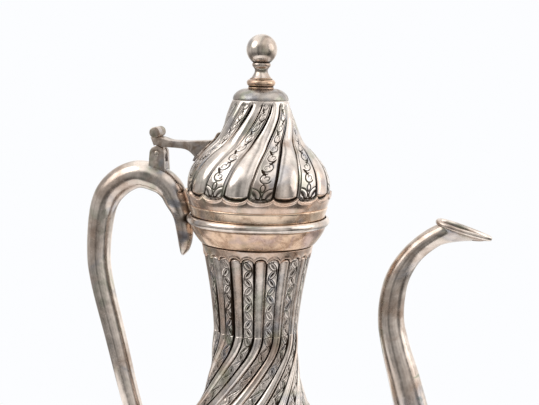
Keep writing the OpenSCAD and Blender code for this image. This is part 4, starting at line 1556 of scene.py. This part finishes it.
        tube_r = self.radius - 0.05
        rings, dirt_and_shade = [], []
        start, rim = ring(tube_r, 7.5), edge(0.7, -1.3)
        # Painted shadow: the funnel darkens just under the rolled edge.
        for t in np.linspace(0, 1, 19):
            swell = t**3.2
            lift = ring(tube_r, 7.5 - 8.5 * t) - start
            rings.append(start * (1 - swell) + rim * swell + lift * (1 - swell))
            dirt_and_shade.append(0.24 + 0.25 * math.exp(-(((t - 1) / 0.12) ** 2)))
        # The rolled edge darkens on its underside and where it turns into the dish: painted shade.
        for inset, rise, stain_and_shade in (
            (0.45, -1.2, 0.3), (0.1, -0.85, 0.1), (-0.05, -0.25, 0.0), (0.0, 0.35, 0.0), (0.3, 0.85, 0.0),
            (0.85, 1.05, 0.0), (1.4, 0.9, 0.05), (1.85, 0.4, 0.25), (2.05, -0.3, 0.5),
        ):
            rings.append(edge(inset, rise))
            dirt_and_shade.append(stain_and_shade)
        bore = ring(self.radius - self.wall - 0.1, 1.0)
        dish = edge(2.2, -0.8)
        # The dish and the bore darken inwards: tarnish and painted shade.
        for t in np.linspace(0, 1, 11):
            sag = t**0.55
            drop = np.array([0, 0, 1.0]) * 1.5 * math.sin(math.pi * sag) * (1 - t)
            rings.append(dish * (1 - t) + bore * t - drop)
            dirt_and_shade.append(0.42 + 0.4 * t)
        for back in (3.0, 5.5, 8.0):
            rings.append(ring(self.radius - self.wall - 0.1, back))
            dirt_and_shade.append(0.9)
        points = np.array(rings)
        tarnish = np.repeat(np.array(dirt_and_shade)[:, None], count, 1)
        gold = np.repeat(np.array([float(stain_and_shade > 0.4) for stain_and_shade in dirt_and_shade])[:, None], count, 1)
        skin = Skin(
            points.reshape(-1, 3), grid_quads(len(rings), count, True),
            attributes={"tarnish": tarnish.ravel(), "warm": gold.ravel()},
        )
        piece = skin.object("pouring_lip")
        reworked(piece.data, lambda shape: bmesh.ops.remove_doubles(shape, verts=shape.verts, dist=0.02 * MM))
        dress(piece, BURNISHED_SILVER, self.finishes, "pot", ("spout_mouth",))


@dataclass
class Handle:
    """Horn-shaped handle, and the hinge's lug and pin on its arch.

    Args:
        sizes: The pot's sizes.
        finishes: The materials made so far.
        tube: The tree that sweeps a tube.
        radius: Radius where the handle is thickest.
    """

    sizes: PotSizes
    finishes: Finishes
    tube: bpy.types.NodeTree
    frame: dict
    radius: float = 7.2

    def path(self) -> np.ndarray:
        """Gives the centre line as [x, height, radius], from inside the belly to the horn's tip."""
        belly, rim_r, rim, k = self.sizes.belly_r, self.sizes.rim_r, self.sizes.rim_z, self.sizes.stretch
        out = -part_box("handle")[0].x / MM - rim_r - self.radius * 0.86
        low = [(-3.5, 59, 0.82), (0.5, 65, 0.74), (8.5, 76, 0.7), (out * 0.32, 93, 0.69)]
        keys = [[-(belly + x), z * k, self.radius * r] for x, z, r in low]
        grip = [
            (out * 0.8, -67.6 * k, 0.76), (out * 0.965, -37 * k, 0.82), (out, -19.7, 0.86),
            (out * 0.948, 1.9, 0.95), (out * 0.81, 13.1, 1.0), (out * 0.577, 19.3, 0.98), (16.9, 17.3, 0.96),
            (10.6, 13, 0.92), (7.2, 7, 0.85), (4.25, 0, 0.67), (2.5, -9, 0.6), (2.6, -16, 0.43),
            (3.4, -19.6, 0.22), (3.7, -21.0, 0.06),
        ]
        return curve(keys + [[-(rim_r + x), rim + z, self.radius * r] for x, z, r in grip], 8)

    def build(self) -> None:
        """Builds and dresses the handle, the lug and the pin."""
        path = self.path()
        values = {"Material": self.finishes.get(BURNISHED_SILVER), "Sides": 64, "Spacing": 0.9, "Inset": 0.0}
        handle = grown(path_object("handle_drawn", path), self.tube, values)

        def close_ends(shape: bmesh.types.BMesh) -> None:
            """Fills the swept tube's two open ends."""
            bmesh.ops.holes_fill(shape, edges=[e for e in shape.edges if e.is_boundary], sides=0)

        reworked(handle.data, close_ends)
        points = onto_belly(read_points(handle.data), self.sizes, 0.6)
        write_points(handle.data, points)
        root = np.hypot(points[:, 0], points[:, 1]) - self.sizes.belly_radius(points[:, 2])
        low_part = points[:, 2] < self.sizes.belly_z + 25
        by_lug = np.hypot(points[:, 0] - self.sizes.pin[0], points[:, 2] - self.sizes.pin[1] + 7) / 4.5
        by_bead = np.hypot(points[:, 0] + self.sizes.rim_r, points[:, 2] - self.sizes.rim_z) / 3.2
        # Darkened through the tarnish attribute: tarnish and painted shade where the handle meets the belly, by
        # the lug and by the rim bead, and a darker streaked stretch on the horn past the pin.
        stain_and_shade = 0.7 * np.exp(-((root / 2.2) ** 2)) * low_part
        stain_and_shade = stain_and_shade + 0.45 * np.exp(-(by_lug**2)) + 0.6 * np.exp(-(by_bead**2))
        horn = ease(points[:, 0], self.sizes.pin[0] + 3, self.sizes.pin[0] + 12) * ease(points[:, 2], 0, 1)
        stain_and_shade = stain_and_shade + 0.22 * horn * (1 + wander(points[:, 2] * 0.9, points[:, 1], 3))
        set_tarnish_and_shade(handle.data, stain_and_shade + 0.05)
        dress(handle, BURNISHED_SILVER, self.finishes, "pot", ("handle",))
        lug = softened("hinge_lug", "hinge_lug_cast", self.frame, 0.55, 0.2)
        dress(lug, CAST_SILVER, self.finishes, "pot", ("hinge_lug",))
        self.build_pin()

    def build_pin(self) -> None:
        """Builds the hinge pin with its two peened ends, lying along Y."""
        low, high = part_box("hinge_pin")
        half, r = (high.y - low.y) / 2 / MM, (high.z - low.z) / 2 / MM
        dome = ((1, -0.2), (0.96, 0.08), (0.7, 0.25), (0.3, 0.32), (0, 0.34))
        head = [[r * share, half + rise] for share, rise in dome]
        profile = [[a, -b] for a, b in reversed(head)] + [[r, t] for t in (-half / 2, 0, half / 2)] + head
        skin = spun(profile, 40, 0.25, 0.5)
        x, y, z = skin.points.T
        skin.points = np.stack([x + self.sizes.pin[0], -z, y + self.sizes.pin[1]], 1)
        dress(skin.object("hinge_pin_peened"), WIRE_PIN, self.finishes, "pot", ("hinge_pin",))


@dataclass
class Lid:
    """Hinged lid: band, bezel, fluted dome, cap, hinge leaf, strap, thumb roll and finial.

    Args:
        sizes: The pot's sizes.
        finishes: The materials made so far.
        chased: The tree that raises flutes.
        lobes: Lobes around the dome.
        depth: Depth of the valleys.
        first: Angle of an engraved lobe's middle where the turn is 0, in degrees.
    """

    sizes: PotSizes
    finishes: Finishes
    chased: bpy.types.NodeTree
    frame: dict
    lobes: int = 18
    depth: float = 1.7
    first: float = -74.0

    def build(self) -> None:
        """Builds and dresses every piece of the lid."""
        self.build_dome()
        self.build_band()
        self.build_cap()
        self.build_hinge_side()
        self.build_finial()

    def dome_profile(self) -> np.ndarray:
        """Gives the dome's outer points [radius, height] from the band to the cap."""
        low, high, bulge = self.sizes.dome
        keys = [
            (0.955, 0.113), (0.985, 0.17), (1, 0.252), (0.978, 0.36), (0.9, 0.464), (0.755, 0.57),
            (0.605, 0.662),
            (0.522, 0.765), (0.465, 0.87), (0.385, 1),
        ]
        height = (high - low) / (1 - 0.113)
        return curve([[bulge * r, high - height * (1 - t)] for r, t in keys], 8)

    def build_dome(self) -> None:
        """Builds the dome, whose swirling lobes end in shallow scallops above a plain zone."""
        profile = self.dome_profile()
        low = self.sizes.dome[0]
        rise = profile[:, 1] - low
        keys = [
            (0, -1.0), (5.5, 0), (14, 2.6), (22.5, 7), (27, 11.5), (33.5, 21.5), (41.5, 37.5),
            (47.5, 48.5), (53, 56),
        ]
        turns = np.interp(rise, *zip(*keys))
        for _ in range(6):
            turns[1:-1] = (turns[:-2] + 2 * turns[1:-1] + turns[2:]) / 4
        shell = FlutedShell(
            name="lid_dome", profile=profile, turns=turns, lobes=self.lobes, first=self.first,
            spacing=(0.3, 0.42), columns=(44, 22), depth=self.depth, wall=0.8, ornament=Ornament.SCROLLS,
            low_end=FluteEnd.ROUND_POCKET, low_stop=low + 5.3, high_end=FluteEnd.FADE,
            ornament_from=low + 5.5,
            border=1.1,
            dark_rows=((low, 0.35), (low + 25, 0.45), (low + 42, 0.7), (low + 60, 0.4)),
        )
        dome = shell.build(self.chased, self.finishes.get(SPUN_SILVER))
        dress(dome, SPUN_SILVER, self.finishes, "lid", ("lid_dome",))

    def build_band(self) -> None:
        """Builds the plain band with its solder seam, and the bezel that centres it in the cup."""
        low, high = (corner.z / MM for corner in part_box("lid_band"))
        edge, top, inner = self.sizes.rim_r - 2.5, self.dome_profile()[0, 0], self.sizes.rim_r - 3.9
        side = [
            [edge + (top + 0.35 - edge) * t**1.3, low + 0.3 + (high - low - 0.5) * t]
            for t in np.linspace(0, 1, 9)
        ]
        outline = [
            [inner, low], [edge - 0.5, low], [edge - 0.1, low + 0.1], *side,
            [top + 0.1, high], [top - 2.2, high],
            [inner, low + 3.4],
        ]
        band = turned(outline, 192, 0.35, 0.6, 0.06)
        dress(band.object("lid_band_gilt"), WIPED_GILT, self.finishes, "lid", ("lid_band",))
        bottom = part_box("lid_bezel")[0].z / MM
        outline = [
            [inner - 2.9, bottom], [inner - 2, bottom], [inner - 0.4, low], [inner - 0.05, low],
            [inner - 0.05, low + 3], [inner - 1.6, low + 3], [inner - 1.6, low],
        ]
        bezel = turned(outline, 144, 0.4, 0.6, 0.3)
        dress(bezel.object("lid_bezel_spun"), BURNISHED_SILVER, self.finishes, "lid", ("lid_bezel",))

    def build_cap(self) -> None:
        """Builds the small domed cap that closes the lid under the finial."""
        low, high = self.sizes.dome[1], self.sizes.cap_top
        outer_r, inner_r, wall, hole = self.dome_profile()[-1, 0], 6.2, 1.2, STUD_HOLE
        shoulder = [
            [inner_r + (outer_r - inner_r) * math.cos(a), low + (high - low) * math.sin(a)]
            for a in np.radians(np.linspace(0, 90, 13))
        ]
        under = [
            [max(hole, r - wall - 1.2), low + (h - low) * (high - low - wall) / (high - low)]
            for r, h in shoulder
        ]
        outline = [*shoulder, [hole, high], [hole, high - wall], *reversed(under)]
        cap = turned(outline, 128, 0.4, 0.8, 0.42)
        dress(cap.object("lid_cap_spun"), SPUN_SILVER, self.finishes, "lid", ("lid_cap",))

    def build_hinge_side(self) -> None:
        """Builds the leaf on the dome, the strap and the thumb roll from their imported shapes."""
        for node, bevel in (("lid_leaf", 0.35), ("lid_strap", 0.45), ("thumb_roll", 0.7)):
            piece = softened(node, f"{node}_cast", self.frame, bevel, 0.22)
            dress(piece, CAST_SILVER, self.finishes, "lid", (node,))

    def build_finial(self) -> None:
        """Builds the moulded base, the waisted stem and the ball above the cap."""
        low, high = (corner.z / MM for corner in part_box("finial_base"))
        hole = STUD_HOLE
        base = [
            [hole, low], [6.4, low], [6.45, low + 0.5], [6.1, low + 0.9],
            *arc((5.3, low + 2.75), 1.8, -72, 78, 18), [5.5, low + 4.6], [5.3, high], [hole, high],
        ]
        piece = turned(base, 96, 0.22, 0.4, 0.05).object("finial_base_turned")
        dress(piece, GILT_SILVER, self.finishes, "lid", ("finial_base",))
        ball_z, ball_r = self.sizes.ball
        seat_r = 4.2
        seat = math.asin(seat_r / ball_r)
        seat_z = ball_z - ball_r * math.cos(seat)
        tall = seat_z - 2.2 - high
        waist = curve([[5, 0], [4.2, 0.21], [3.45, 0.46], [3.2, 0.64], [3.5, 0.84], [4.1, 1]], 6).tolist()
        collar = [[4.5, seat_z - 1.7], [4.65, seat_z - 1.1], [4.5, seat_z - 0.5]]
        stem = [[hole, high], *[[r, high + z * tall] for r, z in waist], *collar]
        cup = [
            [ball_r * math.sin(seat * t), ball_z - ball_r * math.cos(seat * t)] for t in (1, 0.78, 0.56, 0.38)
        ]
        stem += [*cup, [hole, ball_z - ball_r + 0.05]]
        piece = turned(stem, 96, 0.22, 0.5, 0.08).object("finial_stem_turned")
        dress(piece, BURNISHED_SILVER, self.finishes, "lid", ("finial_stem",))
        profile = [[max(r, 0.0), z] for r, z in arc((0, ball_z), ball_r, -90, 90, 60)]
        profile[0][0] = profile[-1][0] = 0.0
        ball = spun(profile, 96, 1.0, 0.5)
        # Painted shade: the ball's underside is darkened through its tarnish attribute.
        below = np.clip((ball_z - ball_r * 0.62 - ball.points[:, 2]) / 2, 0, 0.6)
        ball.attributes["tarnish"] = below
        dress(ball.object("finial_ball_spun"), BURNISHED_SILVER, self.finishes, "lid", ("finial_ball",))


@dataclass
class Fixings:
    """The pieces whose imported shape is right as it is: the belly's floor, and the finial's stud, washer, nut.

    Args:
        finishes: The materials made so far.
    """

    frame: dict
    finishes: Finishes

    def dress(self) -> None:
        """Gives each of these nodes its material."""
        for node in ("finial_stud", "finial_washer", "finial_nut", "body_floor"):
            finish = SPUN_SILVER if node == "body_floor" else TURNED_BRASS
            mesh = self.frame["nodes"][node].data
            mesh.materials.clear()
            mesh.materials.append(self.finishes.get(finish))
            log.info("%s: packed shape with %s", node, finish.name)


# ---------------------------------------------------------------- studio


@dataclass
class Studio:
    """Pale floor, a bright tent with a few darker gaps, soft lights and the camera.

    Args:
        sizes: The pot's sizes.
        azimuth: Side that the camera stands on, in degrees from the front.
        distance: Level distance from the pot's axis to the camera, in millimetres.
        rise: How far the camera stands above the rim.
        lens: Focal length on a 36 mm sensor.
        roll: Lean of the picture to the right, in degrees.
        aim: How far the view's middle lies to the right of the rim and above it, in degrees.
    """

    sizes: PotSizes
    azimuth: float = 15.0
    distance: float = 625.0
    rise: float = 95.6
    lens: float = 84.42
    roll: float = 1.35
    aim: tuple[float, float] = (0.508, 0.760)

    def build(self) -> None:
        """Builds the whole studio."""
        self.build_floor()
        self.build_tent()
        self.build_lights()
        self.build_camera()

    def build_floor(self) -> None:
        """Builds the plain white floor."""
        bpy.ops.mesh.primitive_circle_add(vertices=128, radius=0.31, fill_type="NGON", location=(0, 0, 0))
        floor = bpy.context.object
        floor.name = "floor"
        material = bpy.data.materials.new("Matt white card")
        material.use_nodes = True
        shader = material.node_tree.nodes["Principled BSDF"]
        shader.inputs["Base Color"].default_value = linear("#fbfbfc")
        shader.inputs["Roughness"].default_value = 0.9
        shader.inputs["Specular IOR Level"].default_value = 0.1
        floor.data.materials.append(material)

    def build_tent(self) -> None:
        """Builds the world: white to the camera, a bright tent with darker gaps to the metal."""
        world = bpy.data.worlds.new("White tent")
        bpy.context.scene.world = world
        world.use_nodes = True
        tree = world.node_tree
        tree.nodes.clear()
        way = add_node(tree, "ShaderNodeTexCoord").outputs["Generated"]
        parts = add_node(tree, "ShaderNodeSeparateXYZ", {0: way})
        angle = add_node(
            tree, "ShaderNodeMath", {0: parts.outputs[1], 1: parts.outputs[0]}, operation="ARCTAN2"
        ).outputs[0]
        share = mapped(tree, angle, (-math.pi, math.pi), smooth=False)
        walls = add_node(tree, "ShaderNodeValToRGB", {"Fac": share})
        stops = [
            (-180, 0.6), (-166, 0.72), (-158, 0.42), (-145, 0.6), (-128, 0.5), (-116, 0.62), (-106, 0.25),
            (-98, 0.22), (-90, 0.48), (-72, 0.46), (-60, 0.68), (-50, 0.57), (-40, 0.85), (-30, 0.66),
            (-20, 0.25), (-2, 0.22), (6, 0.55), (14, 1.1), (40, 1.3), (56, 1.05), (76, 1.25), (112, 1.2),
            (124, 0.8), (136, 1.0), (146, 0.55), (180, 0.6),
        ]
        self.set_stops(walls.color_ramp, [((degrees + 180) / 360, value) for degrees, value in stops])
        high = mapped(tree, parts.outputs[2], (0.4, 0.75))
        over = mapped(tree, parts.outputs[0], (-1.0, 1.0), smooth=False)
        roof = add_node(tree, "ShaderNodeValToRGB", {"Fac": over})
        self.set_stops(roof.color_ramp, [
            (0.0, 0.65), (0.2, 1.2), (0.38, 1.4), (0.47, 1.1), (0.52, 0.6), (0.58, 0.75), (0.66, 1.4),
            (0.82, 1.2), (1.0, 1.05),
        ])
        tent = add_node(
            tree, "ShaderNodeMix", {0: high, 6: walls.outputs[0], 7: roof.outputs[0]}, data_type="RGBA"
        ).outputs[2]
        below = mapped(tree, parts.outputs[2], (-0.45, -0.12), (0.4, 1.0))
        tent = add_node(tree, "ShaderNodeVectorMath", {0: tent, "Scale": below}, operation="SCALE").outputs[0]
        seen = add_node(tree, "ShaderNodeLightPath").outputs["Is Camera Ray"]
        colour = add_node(
            tree, "ShaderNodeMix", {0: seen, 6: tent}, {7: linear("#fcfdff")}, data_type="RGBA"
        ).outputs[2]
        light = add_node(tree, "ShaderNodeBackground", {"Color": colour}, {"Strength": 1.0})
        add_node(tree, "ShaderNodeOutputWorld", {"Surface": light.outputs[0]})

    def set_stops(self, ramp: bpy.types.ColorRamp, stops: list) -> None:
        """Sets a colour ramp to pairs of a place from 0 to 1 and a brightness, slightly warm."""
        ramp.interpolation = "EASE"
        while len(ramp.elements) < len(stops):
            ramp.elements.new(0.5)
        for element, (place, value) in zip(ramp.elements, stops):
            element.position = place
            element.color = (value, value * 0.985, value * 0.965, 1)

    def build_lights(self) -> None:
        """Builds two soft lights, a large one high on the left and a fill on the right."""
        middle = Vector((0, 0, self.sizes.rim_z * MM))
        for name, place, size, power in (
            ("key light", (-0.75, -0.55, 0.85), 0.9, 3.5), ("fill light", (0.85, 0.05, 0.5), 0.7, 1.5),
        ):
            data = bpy.data.lights.new(name, "AREA")
            data.shape, data.size, data.energy = "DISK", size, power
            data.color = (1.0, 0.985, 0.965)
            lamp = placed(name, data)
            lamp.location = place
            lamp.rotation_euler = (middle - Vector(place)).to_track_quat("-Z", "Y").to_euler()

    def build_camera(self) -> None:
        """Places the camera and turns it by its heading, pitch and roll."""
        side = math.radians(self.azimuth)
        height = self.sizes.rim_z + self.rise
        place = Vector((math.sin(side) * self.distance, -math.cos(side) * self.distance, height))
        heading = math.radians(self.azimuth - self.aim[0])
        pitch = math.atan2(self.rise, self.distance) - math.radians(self.aim[1])
        flat = math.cos(pitch)
        forward = Vector((-math.sin(heading) * flat, math.cos(heading) * flat, -math.sin(pitch)))
        level = Vector((math.cos(heading), math.sin(heading), 0))
        upright = level.cross(forward)
        lean = math.radians(self.roll)
        up = upright * math.cos(lean) - level * math.sin(lean)
        right = level * math.cos(lean) + upright * math.sin(lean)
        data = bpy.data.cameras.new("camera")
        data.lens, data.sensor_width, data.clip_start = self.lens, 36.0, 0.01
        camera = placed("camera", data)
        turn = Matrix((right, up, -forward)).transposed()
        camera.matrix_world = Matrix.Translation(place * MM) @ turn.to_4x4()
        bpy.context.scene.camera = camera


def main() -> None:
    """Builds the pot sub-assembly by sub-assembly, and the studio around it."""
    logging.basicConfig(level=logging.INFO, format="%(name)s: %(message)s")
    bpy.context.scene.view_settings.view_transform = "Standard"
    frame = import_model()
    sizes = PotSizes.from_frame(frame)
    finishes = Finishes()
    chased, tube = chased_tree(), tube_tree()
    Studio(sizes).build()
    Vessel(sizes, finishes, chased).build()
    Spout(sizes, finishes, tube).build()
    Handle(sizes, finishes, tube, frame).build()
    Lid(sizes, finishes, chased, frame).build()
    Fixings(frame, finishes).dress()


if __name__ == "__main__":
    main()
